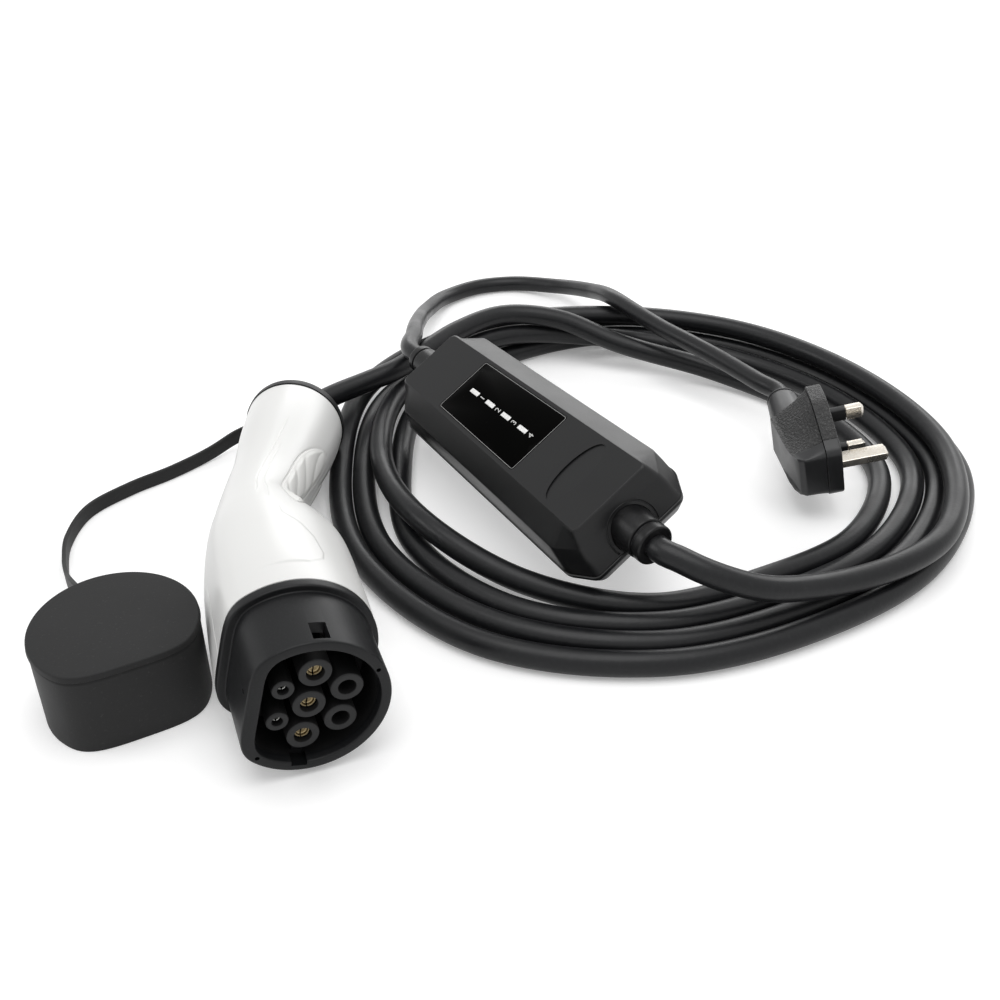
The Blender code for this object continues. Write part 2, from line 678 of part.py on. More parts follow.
# Nose barrel: rear spigot, flange, barrel and bore, with a lock slot on either side
barrel_rings = [
    d_ring(SPIGOT_END_X, NOSE_R - SPIGOT_STEP, NOSE_FLAT + 0.4),
    d_ring(FLANGE_BACK_X, NOSE_R - SPIGOT_STEP, NOSE_FLAT + 0.4),
    d_ring(FLANGE_BACK_X, FLANGE_R, FLANGE_FLAT),
    d_ring(FLANGE_FRONT_X - 1.2, FLANGE_R, FLANGE_FLAT),
    d_ring(FLANGE_FRONT_X, FLANGE_R - 1.2, FLANGE_FLAT - 1.2),
    d_ring(FLANGE_FRONT_X, NOSE_R + 0.2, NOSE_FLAT + 0.2),
    d_ring(NOSE_TIP_X - 1.2, NOSE_R, NOSE_FLAT),
    d_ring(NOSE_TIP_X, NOSE_R - 0.9, NOSE_FLAT - 0.9),
    d_ring(NOSE_TIP_X, NOSE_BORE_R + 1.2, NOSE_BORE_FLAT + 1.0),
    d_ring(NOSE_TIP_X - 1.6, NOSE_BORE_R, NOSE_BORE_FLAT),
    d_ring(SPIGOT_END_X, NOSE_BORE_R, NOSE_BORE_FLAT),
]
nose_barrel = add_mesh("nose_barrel", *loft(barrel_rings, True), connector, "black")
slot_tool = helper(add_mesh("lock_slot_tool", *merge([
    box(SLOT_X0, SLOT_X1, NOSE_BORE_R - 5.0, NOSE_R + 5.0, -SLOT_HALF, SLOT_HALF),
    box(SLOT_X0, SLOT_X1, -NOSE_R - 5.0, -NOSE_BORE_R + 5.0, -SLOT_HALF, SLOT_HALF)]), connector, None, False))
apply_tool(nose_barrel, slot_tool, "DIFFERENCE")

# Carrier: a D-shaped disc with seven sleeves that stand in the nose
carrier = add_mesh("contact_carrier", *loft([
    d_ring(CARRIER_BACK_X, NOSE_BORE_R - GAP, NOSE_BORE_FLAT - GAP),
    d_ring(CARRIER_FRONT_X, NOSE_BORE_R - GAP, NOSE_BORE_FLAT - GAP)]), connector, "black")
sleeves = []
holes = []
for spots, sleeve_r, hole_r, tail_r in ((POWER_SPOTS, POWER_SLEEVE_R, POWER_HOLE_R, POWER_HOLE_R * TAIL_SHARE),
                                        (BLANK_SPOTS, POWER_SLEEVE_R, POWER_HOLE_R, 0.0),
                                        (SIGNAL_SPOTS, SIGNAL_SLEEVE_R, SIGNAL_HOLE_R, SIGNAL_HOLE_R * TAIL_SHARE)):
    for y, z in spots:
        sleeves.append(revolve([(CARRIER_FRONT_X - 1.0, sleeve_r), (-0.5, sleeve_r), (0.0, sleeve_r - 0.5)],
                               16, centre=(y, z)))
        if tail_r > 0:
            holes.append(revolve([(CARRIER_BACK_X - 1.0, tail_r), (-HOLE_DEPTH, tail_r),
                                  (-HOLE_DEPTH, hole_r), (1.0, hole_r)], 14, centre=(y, z)))
        else:
            holes.append(revolve([(-HOLE_DEPTH + 2.0, hole_r), (1.0, hole_r)], 14, centre=(y, z)))
sleeve_tool = helper(add_mesh("sleeve_tool", *merge(sleeves), connector, None))
hole_tool = helper(add_mesh("sleeve_hole_tool", *merge(holes), connector, None))
apply_tool(carrier, sleeve_tool, "UNION")
apply_tool(carrier, hole_tool, "DIFFERENCE")

# Contacts: a hollow socket at the front, a plain tail at the back
CONTACT_NAMES = (("contact_line", POWER_SPOTS[0], POWER_HOLE_R, "brass"),
                 ("contact_earth", POWER_SPOTS[1], POWER_HOLE_R, "brass"),
                 ("contact_neutral", POWER_SPOTS[2], POWER_HOLE_R, "brass"),
                 ("contact_pilot", SIGNAL_SPOTS[0], SIGNAL_HOLE_R, "silver"),
                 ("contact_proximity", SIGNAL_SPOTS[1], SIGNAL_HOLE_R, "silver"))
for name, centre, hole_r, look in CONTACT_NAMES:
    tail_r = hole_r * TAIL_SHARE
    outer = hole_r - GAP
    inner = outer - CONTACT_WALL
    profile = [(CONTACT_BACK_X, tail_r - GAP), (-HOLE_DEPTH + GAP, tail_r - GAP), (-HOLE_DEPTH + GAP, outer),
               (-2.4, outer), (-2.4, inner), (-16.0, inner)]
    add_mesh(name, *revolve(profile, 14, centre=centre), connector, look)

# Ring behind the carrier that keeps it in the barrel
add_mesh("carrier_retainer", *loft([
    d_ring(CARRIER_BACK_X - GAP, NOSE_BORE_R - GAP, NOSE_BORE_FLAT - GAP),
    d_ring(CARRIER_BACK_X - RETAINER_T, NOSE_BORE_R - GAP, NOSE_BORE_FLAT - GAP),
    d_ring(CARRIER_BACK_X - RETAINER_T, NOSE_BORE_R - RETAINER_WALL, NOSE_BORE_FLAT - RETAINER_FLAT_WALL),
    d_ring(CARRIER_BACK_X - GAP, NOSE_BORE_R - RETAINER_WALL, NOSE_BORE_FLAT - RETAINER_FLAT_WALL)], True),
    connector, "grey")

# Handle shells and the soft finger inserts let into them
for side, shell_name, insert_name in ((1, "handle_left_shell", "grip_insert_left"),
                                      (-1, "handle_right_shell", "grip_insert_right")):
    shell = add_mesh(shell_name, *handle_half(side), connector, "white")
    pocket = helper(add_mesh(insert_name + "_pocket", *insert_patch(side, -2.0, INSERT_DEEP + GAP, 1.0),
                             connector, None))
    apply_tool(shell, pocket, "DIFFERENCE")
    add_mesh(insert_name, *insert_patch(side, -INSERT_PROUD, INSERT_DEEP, 0.0), connector, "white")
    if side < 0:
        heads = []
        for s, a in ((2.2, 1.9), (4.4, 1.2), (10.2, 1.2)):
            p = handle_point(s, a, 0.0, side)
            heads.append(p)
        tools = [revolve([(p[1] - 4.0, SCREW_R + GAP), (p[1] + SCREW_WELL, SCREW_R + GAP)], 20,
                         centre=(p[0], p[2]), axis="Y") for p in heads]
        well = helper(add_mesh("handle_screw_well", *merge(tools), connector, None))
        apply_tool(shell, well, "DIFFERENCE")
        for k, p in enumerate(heads):
            add_mesh("handle_screw_" + str(k + 1),
                     *revolve([(p[1] + SCREW_SUNK, SCREW_R - 0.4), (p[1] + SCREW_SUNK + 0.3, SCREW_R),
                               (p[1] + SCREW_SUNK + SCREW_T, SCREW_R)], 20, centre=(p[0], p[2]), axis="Y"),
                     connector, "steel")

# Black ring that closes the handle's end, and the gland in its middle
ring_in = END_RING_R - END_RING_LIP - HANDLE_WALL - 1.0
add_mesh("handle_end_ring", *revolve([
    (-6.0, ring_in - 2.0), (-6.0, ring_in), (GAP, ring_in), (GAP, END_RING_R), (END_RING_T - 1.0, END_RING_R),
    (END_RING_T, END_RING_R - 1.0), (END_RING_T, GROMMET_R + GAP), (2.8, GROMMET_R + GAP),
    (2.8, ring_in - 2.0)], 32, True), grip_end, "black")
add_mesh("handle_gland", *revolve([
    (-1.5, 11.0), (2.5, 11.0), (2.5, GROMMET_R), (GROMMET_END - 0.8, GROMMET_R),
    (GROMMET_END, GROMMET_R - 0.8)], 20), grip_end, "rubber")
add_mesh("tether_loop", *revolve([
    (5.5, GROMMET_R + GAP), (5.5, 11.0), (10.5, 11.0), (10.5, GROMMET_R + GAP)], 20, True), grip_end, "rubber")

# Cap: closed face up, rounded edge, open mouth on the floor


def cap_ring(z, inset):
    return [(q, p, z) for p, q in d_outline(CAP_R - inset, CAP_FLAT - inset, 40, 8.0)]


add_mesh("cap_body", *loft([
    cap_ring(CAP_H, 3.0), cap_ring(CAP_H - 0.35, 1.7), cap_ring(CAP_H - 1.2, 0.65), cap_ring(CAP_H - 2.8, 0.0),
    cap_ring(0.6, 0.0), cap_ring(0.0, 0.4), cap_ring(0.0, CAP_WALL), cap_ring(CAP_H - 2.6, CAP_WALL)]),
    cap_frame, "rubber")
add_mesh("tether_strap", *band(STRAP_ROUTE, STRAP_W, STRAP_T), None, "rubber")

# Control box cover with the panel recess, window slots, oval recess and cord bores
cover_rings = [box_ring(*row) for row in BOX_RINGS_UP]
cover_rings.append(box_ring(BOX_PART_Z + GAP * 0.5, *BOX_RING_PART))
cover_rings.append(box_ring(BOX_PART_Z + GAP * 0.5, *BOX_RING_PART, inset=BOX_TOP_WALL))
for row in BOX_RINGS_UP[:1:-1]:
    cover_rings.append(box_ring(row[0] - 0.8, *row[1:], inset=BOX_TOP_WALL))
top_row = BOX_RINGS_UP[1]
cover_rings.append(box_ring(-BOX_TOP_WALL, *top_row[1:], inset=BOX_TOP_WALL))
cover = add_mesh("box_top_cover", *loft(cover_rings), control, "casing", False)
windows = [box(x - WINDOW_L / 2 - 0.2, x + WINDOW_L / 2 + 0.2, WINDOW_Y - WINDOW_W / 2 - 0.2,
               WINDOW_Y + WINDOW_W / 2 + 0.2, -6.0, 2.0) for x in WINDOW_X]
panel_tool = helper(add_mesh("panel_tool", *plate(panel_outline(GAP), -PANEL_T - GAP, 2.0), control, None, False))
window_tool = helper(add_mesh("window_tool", *merge(windows), control, None, False))
oval = [(OVAL_X + OVAL_HALF_X * cos(2 * pi * k / 40), OVAL_HALF_Y * sin(2 * pi * k / 40)) for k in range(40)]
oval_tool = helper(add_mesh("oval_tool", *plate(oval, -OVAL_DEPTH, 2.0), control, None, False))
bore_tool = helper(add_mesh("cord_bore_tool", *merge([
    revolve([(68.0, EV_BOOT_R + GAP), (95.0, EV_BOOT_R + GAP)], 32, centre=(0.0, EV_BOOT_Z)),
    revolve([(-95.0, MAINS_BOOT_R + GAP), (-68.0, MAINS_BOOT_R + GAP)], 32, centre=(0.0, MAINS_BOOT_Z))]),
    control, None))
apply_tool(cover, panel_tool, "DIFFERENCE")
apply_tool(cover, window_tool, "DIFFERENCE")
apply_tool(cover, oval_tool, "DIFFERENCE")
apply_tool(cover, bore_tool, "DIFFERENCE")
panel = add_mesh("label_panel", *plate(panel_outline(0.0), -PANEL_T, 0.0), control, "panel", False)
apply_tool(panel, window_tool, "DIFFERENCE")
for k, x in enumerate(WINDOW_X):
    add_mesh("led_window_" + str(k + 1), *box(x - WINDOW_L / 2, x + WINDOW_L / 2, WINDOW_Y - WINDOW_W / 2,
             WINDOW_Y + WINDOW_W / 2, BOARD_Z + BOARD_T + GAP, 0.05), control, "window", False)

# Lower shell with the posts that carry the circuit board, and the wells of its screws
shell_rings = [box_ring(BOX_PART_Z - GAP * 0.5, *BOX_RING_PART)]
shell_rings += [box_ring(*row) for row in BOX_RINGS_DOWN]
shell_rings = shell_rings[::-1]
shell_rings.append(box_ring(BOX_PART_Z - GAP * 0.5, *BOX_RING_PART, inset=BOX_TOP_WALL))
for row in BOX_RINGS_DOWN[:2]:
    shell_rings.append(box_ring(row[0], *row[1:], inset=BOX_TOP_WALL))
low_row = BOX_RINGS_DOWN[2]
shell_rings.append(box_ring(BOX_FOOT_Z + BOX_TOP_WALL, *low_row[1:], inset=BOX_TOP_WALL))
shell = add_mesh("box_bottom_shell", *loft(shell_rings), control, "casing", False)
posts = [revolve([(BOX_FOOT_Z + 1.0, POST_R), (BOARD_Z - GAP, POST_R)], 16, centre=(x, y), axis="Z")
         for x in (-POST_X, POST_X) for y in (-POST_Y, POST_Y)]
post_tool = helper(add_mesh("post_tool", *merge(posts), control, None))
apply_tool(shell, post_tool, "UNION")
apply_tool(shell, bore_tool, "DIFFERENCE")
wells = [revolve([(BOX_FOOT_Z - 2.0, SCREW_R + GAP), (BOX_FOOT_Z + SCREW_WELL, SCREW_R + GAP)], 20,
                 centre=(x, y), axis="Z") for x in (-SCREW_X, SCREW_X) for y in (-SCREW_Y, SCREW_Y)]
well_tool = helper(add_mesh("box_screw_well", *merge(wells), control, None))
apply_tool(shell, well_tool, "DIFFERENCE")
number = 0
for x in (-SCREW_X, SCREW_X):
    for y in (-SCREW_Y, SCREW_Y):
        number += 1
        add_mesh("box_screw_" + str(number), *revolve([
            (BOX_FOOT_Z + SCREW_SUNK, SCREW_R - 0.3), (BOX_FOOT_Z + SCREW_SUNK + 0.3, SCREW_R),
            (BOX_FOOT_Z + SCREW_SUNK + SCREW_T, SCREW_R)], 20,
            centre=(x, y), axis="Z"), control, "steel")

# Inside the box: board, relays, current sensor, supply module and terminals
board_top = BOARD_Z + BOARD_T + GAP
add_mesh("circuit_board", *box(-BOARD_HALF_X, BOARD_HALF_X, -BOARD_HALF_Y, BOARD_HALF_Y, BOARD_Z,
                               BOARD_Z + BOARD_T), control, "board", False)
add_mesh("relay_line", *box(*RELAY_X, RELAY_Y[0], RELAY_Y[1], board_top, RELAY_TOP_Z), control, "grey", False)
add_mesh("relay_neutral", *box(*RELAY_X, -RELAY_Y[1], -RELAY_Y[0], board_top, RELAY_TOP_Z), control, "grey",
         False)
add_mesh("supply_module", *box(*SUPPLY_X, -SUPPLY_HALF_Y, SUPPLY_HALF_Y, board_top, MODULE_TOP_Z), control,
         "grey", False)
add_mesh("current_sensor", *revolve([
    (board_top, SENSOR_HOLE_R), (board_top, SENSOR_R), (SENSOR_TOP_Z, SENSOR_R), (SENSOR_TOP_Z, SENSOR_HOLE_R)],
    24, True, centre=(SENSOR_X, 0.0), axis="Z"), control, "cream")
add_mesh("terminal_block", *box(*TERMINAL_X, -TERMINAL_HALF_Y, TERMINAL_HALF_Y, board_top, MODULE_TOP_Z), control,
         "cream", False)

# Boots: a flange inside the wall, a neck through it and a stepped ring at the tip
add_mesh("ev_side_boot", *revolve([
    (BOOT_SEAT_X, 12.2), (73.4, 12.2), (73.4, EV_BOOT_R), (84.0, EV_BOOT_R), (92.3, 9.3), (92.8, 8.5),
    (EV_BOOT_TIP - 0.6, 8.5), (EV_BOOT_TIP, 7.9)], 24, centre=(0.0, EV_BOOT_Z)), control, "rubber")
add_mesh("mains_side_boot", *revolve([
    (-BOOT_SEAT_X, 9.4), (-73.4, 9.4), (-73.4, MAINS_BOOT_R), (-91.0, MAINS_BOOT_R - 0.3), (-91.4, 7.0),
    (MAINS_BOOT_TIP + 0.5, 7.0), (MAINS_BOOT_TIP, 6.5)], 20, centre=(0.0, MAINS_BOOT_Z)), control, "rubber")

# Plug: plate, wedge with its neck, pins and sleeves, fuse and its holder
plate_rings = [[(x, y, z) for y, z in plug_outline(i)] for x, i in
               ((-PLUG_BASE_T, 0.3), (-PLUG_BASE_T + 0.6, 0.0), (-0.8, 0.0), (0.0, 0.8))]
plug_base = add_mesh("plug_base", *loft(plate_rings), plug, "casing", False)
live_slot = box(-9.0, 2.0, -PIN_T / 2 - GAP, PIN_T / 2 + GAP, PIN_SPREAD - PIN_W / 2 - GAP,
                PIN_SPREAD + PIN_W / 2 + GAP)
neutral_slot = box(-9.0, 2.0, -PIN_T / 2 - GAP, PIN_T / 2 + GAP, -PIN_SPREAD - PIN_W / 2 - GAP,
                   -PIN_SPREAD + PIN_W / 2 + GAP)
earth_slot = box(-9.0, 2.0, EARTH_Y - EARTH_W / 2 - GAP, EARTH_Y + EARTH_W / 2 + GAP, -PIN_T / 2 - GAP,
                 PIN_T / 2 + GAP)
fuse_slot = box(-9.0, 2.0, -14.6, -6.4, -14.3, 14.3)
pin_tool = helper(add_mesh("pin_tool", *merge([live_slot, neutral_slot, earth_slot, fuse_slot]), plug, None, False))
apply_tool(plug_base, pin_tool, "DIFFERENCE")
body_rings = [plug_body_ring(t) for t in (0.0, 0.2, 0.4, 0.6, 0.8, 0.92, 1.0)]
plug_body = add_mesh("plug_body", *loft(body_rings), plug, "casing")
neck_tool = helper(add_mesh("neck_tool", *revolve([
    (-7.5, 3.0), (-6.8, 6.0), (-5.0, 8.4), (-2.0, NECK_R), (NECK_END_Y - 0.8, NECK_R),
    (NECK_END_Y, NECK_R - 0.8)], 32, centre=(NECK_X, 0.0), axis="Y"), plug, None))
apply_tool(plug_body, neck_tool, "UNION")
seat_tool = helper(add_mesh("plate_seat_tool", *box(
    -PLUG_BASE_T - GAP, 6.0, PLUG_EARTH_Y - 8.0, PLUG_CORD_Y + GAP, -PLUG_HALF - 5.0, PLUG_HALF + 5.0),
    plug, None, False))
apply_tool(plug_body, seat_tool, "DIFFERENCE")
half_t = PIN_T / 2
half_w = PIN_W / 2
neck_in = SLEEVE_WALL + 0.2
add_mesh("pin_live", *stepped_pin(0.0, PIN_SPREAD, half_t, half_w, neck_in), plug, "nickel", False)
add_mesh("pin_neutral", *stepped_pin(0.0, -PIN_SPREAD, half_t, half_w, neck_in), plug, "nickel", False)
add_mesh("pin_earth", *pin_block(-PLUG_BASE_T + 1.0, EARTH_LEN, EARTH_Y, 0.0, EARTH_W / 2, half_t, 1.2), plug,
         "nickel", False)
add_mesh("sleeve_live", *square_tube(-4.0, SLEEVE_LEN, 0.0, PIN_SPREAD, half_t, half_w, SLEEVE_WALL), plug,
         "black", False)
add_mesh("sleeve_neutral", *square_tube(-4.0, SLEEVE_LEN, 0.0, -PIN_SPREAD, half_t, half_w, SLEEVE_WALL), plug,
         "black", False)
add_mesh("fuse_holder", *box(-1.8, -0.05, -14.3, -6.7, -14.0, 14.0), plug, "casing", False)
add_mesh("fuse", *revolve([(-12.7, 2.5), (12.7, 2.5)], 20, centre=(-4.65, -10.5), axis="Z"), plug, "cream")

# Supply cord: the coil's stations turned into points, read at even steps so the turns stay side by side
ev_points = [spot(BOX_AT, control_axes, (EV_BOOT_TIP + GAP, 0.0, EV_BOOT_Z)),
             spot(BOX_AT, control_axes, (EV_BOOT_TIP + 4.5, 0.0, EV_BOOT_Z))]
ev_points += list(EV_LEAD)
first_turn = len(ev_points)
for angle, radius, height in EV_TURNS:
    a = radians(angle)
    ev_points.append((COIL_X + radius * cos(a), COIL_Y + radius * sin(a), height))
last_turn = len(ev_points) - 1
ev_points += list(EV_TAIL)
ev_points.append(spot(end_at, end_axes, (GROMMET_END + 4.5, 0.0, 0.0)))
ev_points.append(spot(end_at, end_axes, (GROMMET_END + GAP, 0.0, 0.0)))
ev_at = smooth_route(ev_points)
ev_steps = list(range(first_turn))
ev_steps += [first_turn + 0.8 * k for k in range(int((last_turn - first_turn) / 0.8) + 1)]
ev_steps += list(range(last_turn + 1, len(ev_points)))
add_cord("ev_cable", [ev_at(t) for t in ev_steps], EV_CORD_R, "rubber", 2)

# Mains cord from the other boot, over the coil, to the plug's neck
mains_points = [spot(BOX_AT, control_axes, (MAINS_BOOT_TIP - GAP, 0.0, MAINS_BOOT_Z)),
                spot(BOX_AT, control_axes, (MAINS_BOOT_TIP - 8.0, 0.0, MAINS_BOOT_Z))]
mains_points += list(MAINS_MIDDLE)
mains_points.append(spot(PLUG_AT, plug_axes, (NECK_X, NECK_END_Y + 6.0, 0.0)))
mains_points.append(spot(PLUG_AT, plug_axes, (NECK_X, NECK_END_Y + GAP, 0.0)))
mains_at = smooth_route(mains_points)
mains_steps = [0.5 * k for k in range(2 * (len(mains_points) - 1) + 1)]
add_cord("mains_cord", [mains_at(t) for t in mains_steps], MAINS_CORD_R, "rubber", 2)
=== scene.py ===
# Portable electric-vehicle charger: connector with cap, control box, mains plug and their cords
import math
import bpy
import bmesh
import numpy as np
from mathutils import Matrix


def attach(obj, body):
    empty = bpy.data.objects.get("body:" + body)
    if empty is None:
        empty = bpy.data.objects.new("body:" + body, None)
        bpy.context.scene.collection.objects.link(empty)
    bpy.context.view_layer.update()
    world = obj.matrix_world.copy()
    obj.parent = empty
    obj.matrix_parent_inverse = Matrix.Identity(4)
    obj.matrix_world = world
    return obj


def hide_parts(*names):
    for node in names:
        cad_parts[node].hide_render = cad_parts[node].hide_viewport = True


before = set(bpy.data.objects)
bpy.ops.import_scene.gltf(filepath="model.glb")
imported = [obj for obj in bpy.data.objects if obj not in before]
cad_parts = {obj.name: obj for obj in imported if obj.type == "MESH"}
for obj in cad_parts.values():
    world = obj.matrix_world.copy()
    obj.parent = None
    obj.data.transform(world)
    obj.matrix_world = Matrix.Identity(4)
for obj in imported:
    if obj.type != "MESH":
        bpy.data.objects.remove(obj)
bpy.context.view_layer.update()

scene = bpy.context.scene
mm = 0.001
layoutShift = np.array([52.375, -442.076, 0.0])  # from the layout's corner to the row's origin, millimetres
print("frame loaded:", len(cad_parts), "nodes")


# Tools that every piece below uses

def unit(v):
    return v / np.linalg.norm(v, axis=-1, keepdims=True)


def turnedAxes(heading, lift, roll):
    # the first axis points along heading and lift, the other two are rolled about it
    h, e, r = math.radians(heading), math.radians(lift), math.radians(roll)
    first = np.array([math.cos(h) * math.cos(e), math.sin(h) * math.cos(e), math.sin(e)])
    side = np.array([-math.sin(h), math.cos(h), 0.0])
    top = np.cross(first, side)
    return np.array([first, side * math.cos(r) + top * math.sin(r), top * math.cos(r) - side * math.sin(r)])


def inPlace(points, group):
    # a group's own millimetres to the row frame's metres
    return (np.asarray(points, float) @ group["axes"] + np.array(group["at"]) + layoutShift) * mm


def softMin(a, b, k):
    # the smaller of two values, rounded over where they meet
    h = np.maximum(k - np.abs(a - b), 0.0) / k
    return np.minimum(a, b) - h * h * k * 0.25


def ramp(x, low, high):
    # 0 below low, 1 above high and an S-curve between them
    t = np.clip((x - low) / (high - low), 0.0, 1.0)
    return t * t * (3.0 - 2.0 * t)


def softened(corners, radius, steps=4, closed=False):
    # a polyline whose corners are each replaced by a quadratic curve that starts radius away on both sides
    p = np.asarray(corners, float)
    r = np.broadcast_to(np.asarray(radius, float), (len(p),))
    before = np.roll(p, 1, axis=0)
    after = np.roll(p, -1, axis=0)
    lenBefore = np.maximum(np.linalg.norm(before - p, axis=1), 1e-9)
    lenAfter = np.maximum(np.linalg.norm(after - p, axis=1), 1e-9)
    first = p + (before - p) * (np.minimum(r, lenBefore * 0.45) / lenBefore)[:, None]
    last = p + (after - p) * (np.minimum(r, lenAfter * 0.45) / lenAfter)[:, None]
    t = np.linspace(0.0, 1.0, steps + 1)[None, :, None]
    curve = first[:, None] * (1 - t) ** 2 + p[:, None] * 2 * t * (1 - t) + last[:, None] * t ** 2
    if closed:
        return curve.reshape(-1, p.shape[1])
    return np.vstack([p[:1], curve[1:-1].reshape(-1, p.shape[1]), p[-1:]])


def together(parts):
    # several skins as one list of vertices and one of faces
    verts, faces, base = [], [], 0
    for partVerts, partFaces in parts:
        verts.append(partVerts)
        faces.extend([[i + base for i in face] for face in partFaces])
        base += len(partVerts)
    return np.vstack(verts), faces


def makePiece(name, shape, finish=None, crease=38.0):
    # a mesh object at the origin, doubles merged, faces outwards, shaded smooth with creased edges
    verts, faces = shape
    mesh = bpy.data.meshes.new(name)
    mesh.from_pydata(np.asarray(verts).tolist(), [], faces)
    bm = bmesh.new()
    bm.from_mesh(mesh)
    bmesh.ops.remove_doubles(bm, verts=bm.verts, dist=0.000002)
    bmesh.ops.recalc_face_normals(bm, faces=bm.faces)
    bm.to_mesh(mesh)
    bm.free()
    mesh.shade_smooth()
    mesh.set_sharp_from_angle(angle=math.radians(crease))
    piece = bpy.data.objects.new(name, mesh)
    scene.collection.objects.link(piece)
    if finish is not None:
        mesh.materials.append(finishes[finish])
    return piece


def carve(piece, toolShape, crease, operation="DIFFERENCE"):
    # a boolean with a closed tool shape, worked into the piece's mesh, after which the tool is gone
    tool = makePiece(piece.name + "_tool", toolShape)
    cut = piece.modifiers.new("carve", "BOOLEAN")
    cut.operation = operation
    cut.solver = "EXACT"
    cut.object = tool
    bpy.context.view_layer.update()
    mesh = bpy.data.meshes.new_from_object(piece.evaluated_get(bpy.context.evaluated_depsgraph_get()))
    piece.modifiers.clear()
    piece.data = mesh
    mesh.shade_smooth()
    mesh.set_sharp_from_angle(angle=math.radians(crease))
    bpy.data.objects.remove(tool, do_unlink=True)


def settle(piece, slotName, *nodes):
    # the piece rides on the one body and stands for its solids
    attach(piece, "root")
    if nodes:
        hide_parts(*nodes)


def gridShape(group, grid, closeAlong=False, caps=True):
    # rings of equal count in their group's place: neighbours joined by quads, each end closed by one face
    grid = np.asarray(grid)
    rows, cols = grid.shape[:2]
    ids = np.arange(rows * cols).reshape(rows, cols)
    ids = np.hstack([ids, ids[:, :1]])
    if closeAlong:
        ids = np.vstack([ids, ids[:1]])
    quads = np.stack([ids[:-1, :-1], ids[:-1, 1:], ids[1:, 1:], ids[1:, :-1]], axis=-1)
    faces = quads.reshape(-1, 4).tolist()
    if caps and not closeAlong:
        faces += [ids[0, :-1][::-1].tolist(), ids[-1, :-1].tolist()]
    return inPlace(grid.reshape(-1, 3), group), faces


def turnedShape(group, profile, count, centre=(0.0, 0.0), axis=0, closeAlong=False, caps=True):
    # a profile of distance along and radius, carried round the axis: centre plus radius times cosine and sine
    p = np.asarray(profile, float)
    a = np.linspace(0.0, 2 * math.pi, count, endpoint=False)
    spots = [centre[0] + p[:, 1:2] * np.cos(a), centre[1] + p[:, 1:2] * np.sin(a)]
    spots.insert(axis, np.repeat(p[:, :1], count, axis=1))
    return gridShape(group, np.stack(spots, axis=-1), closeAlong, caps)


def levelRing(outline, height):
    # a flat outline at one height
    return np.column_stack([outline, np.full(len(outline), height)])


def uprightRing(x, outline):
    # a flat outline across the first axis
    return np.column_stack([np.full(len(outline), x), outline])


def roundedBox(halfY, halfZ, corner):
    # a rectangle with rounded corners
    return softened([(-halfY, -halfZ), (halfY, -halfZ), (halfY, halfZ), (-halfY, halfZ)], corner, 4, True)


def plateShape(group, outline, z0, z1):
    # a flat outline given two heights
    return gridShape(group, [levelRing(np.asarray(outline, float), z) for z in (z0, z1)])


def blockShape(group, low, high):
    # a plain block between two corners
    x, y, z = np.transpose([low, high])
    return plateShape(group, [(x[0], y[0]), (x[1], y[0]), (x[1], y[1]), (x[0], y[1])], z[0], z[1])


# Finishes

def addNode(tree, kind, values=None):
    # a shader node whose inputs are set by name
    node = tree.nodes.new(kind)
    for name, value in (values or {}).items():
        node.inputs[name].default_value = value
    return node


def finishOf(name, colour, rough, grain, patches, metal=0.0, speckle=None, specular=None):
    # a Principled surface: grain is (scale, height, detail), patches (scale, spread) vary the roughness over a wider
    # scale, and speckle (scale, from, to, colour) mixes in a second colour
    mat = bpy.data.materials.new(name)
    mat.use_nodes = True
    tree, link = mat.node_tree, mat.node_tree.links.new
    shader = tree.nodes["Principled BSDF"].inputs
    shader["Base Color"].default_value = (*colour, 1.0)
    shader["Roughness"].default_value = rough
    shader["Metallic"].default_value = metal
    if specular is not None:
        shader["Specular IOR Level"].default_value = specular
    place = addNode(tree, "ShaderNodeTexCoord").outputs["Object"]
    noise = addNode(tree, "ShaderNodeTexNoise", {"Scale": grain[0], "Detail": grain[2], "Roughness": 0.6})
    bump = addNode(tree, "ShaderNodeBump", {"Strength": 1.0, "Distance": grain[1]})
    link(place, noise.inputs["Vector"])
    link(noise.outputs["Fac"], bump.inputs["Height"])
    link(bump.outputs["Normal"], shader["Normal"])
    wide = addNode(tree, "ShaderNodeTexNoise", {"Scale": patches[0], "Detail": 3.0})
    level = addNode(tree, "ShaderNodeMapRange", {"From Min": 0.3, "From Max": 0.7, "To Min": rough - patches[1],
                                                 "To Max": rough + patches[1]})
    link(place, wide.inputs["Vector"])
    link(wide.outputs["Fac"], level.inputs["Value"])
    link(level.outputs["Result"], shader["Roughness"])
    if speckle is not None:
        fine = addNode(tree, "ShaderNodeTexNoise", {"Scale": speckle[0], "Detail": 2.0})
        tone = tree.nodes.new("ShaderNodeValToRGB")
        for stop, position, shade in zip(tone.color_ramp.elements, speckle[1:3], (colour, speckle[3])):
            stop.position = position
            stop.color = (*shade, 1.0)
        link(place, fine.inputs["Vector"])
        link(fine.outputs["Fac"], tone.inputs["Fac"])
        link(tone.outputs["Color"], shader["Base Color"])
    return mat


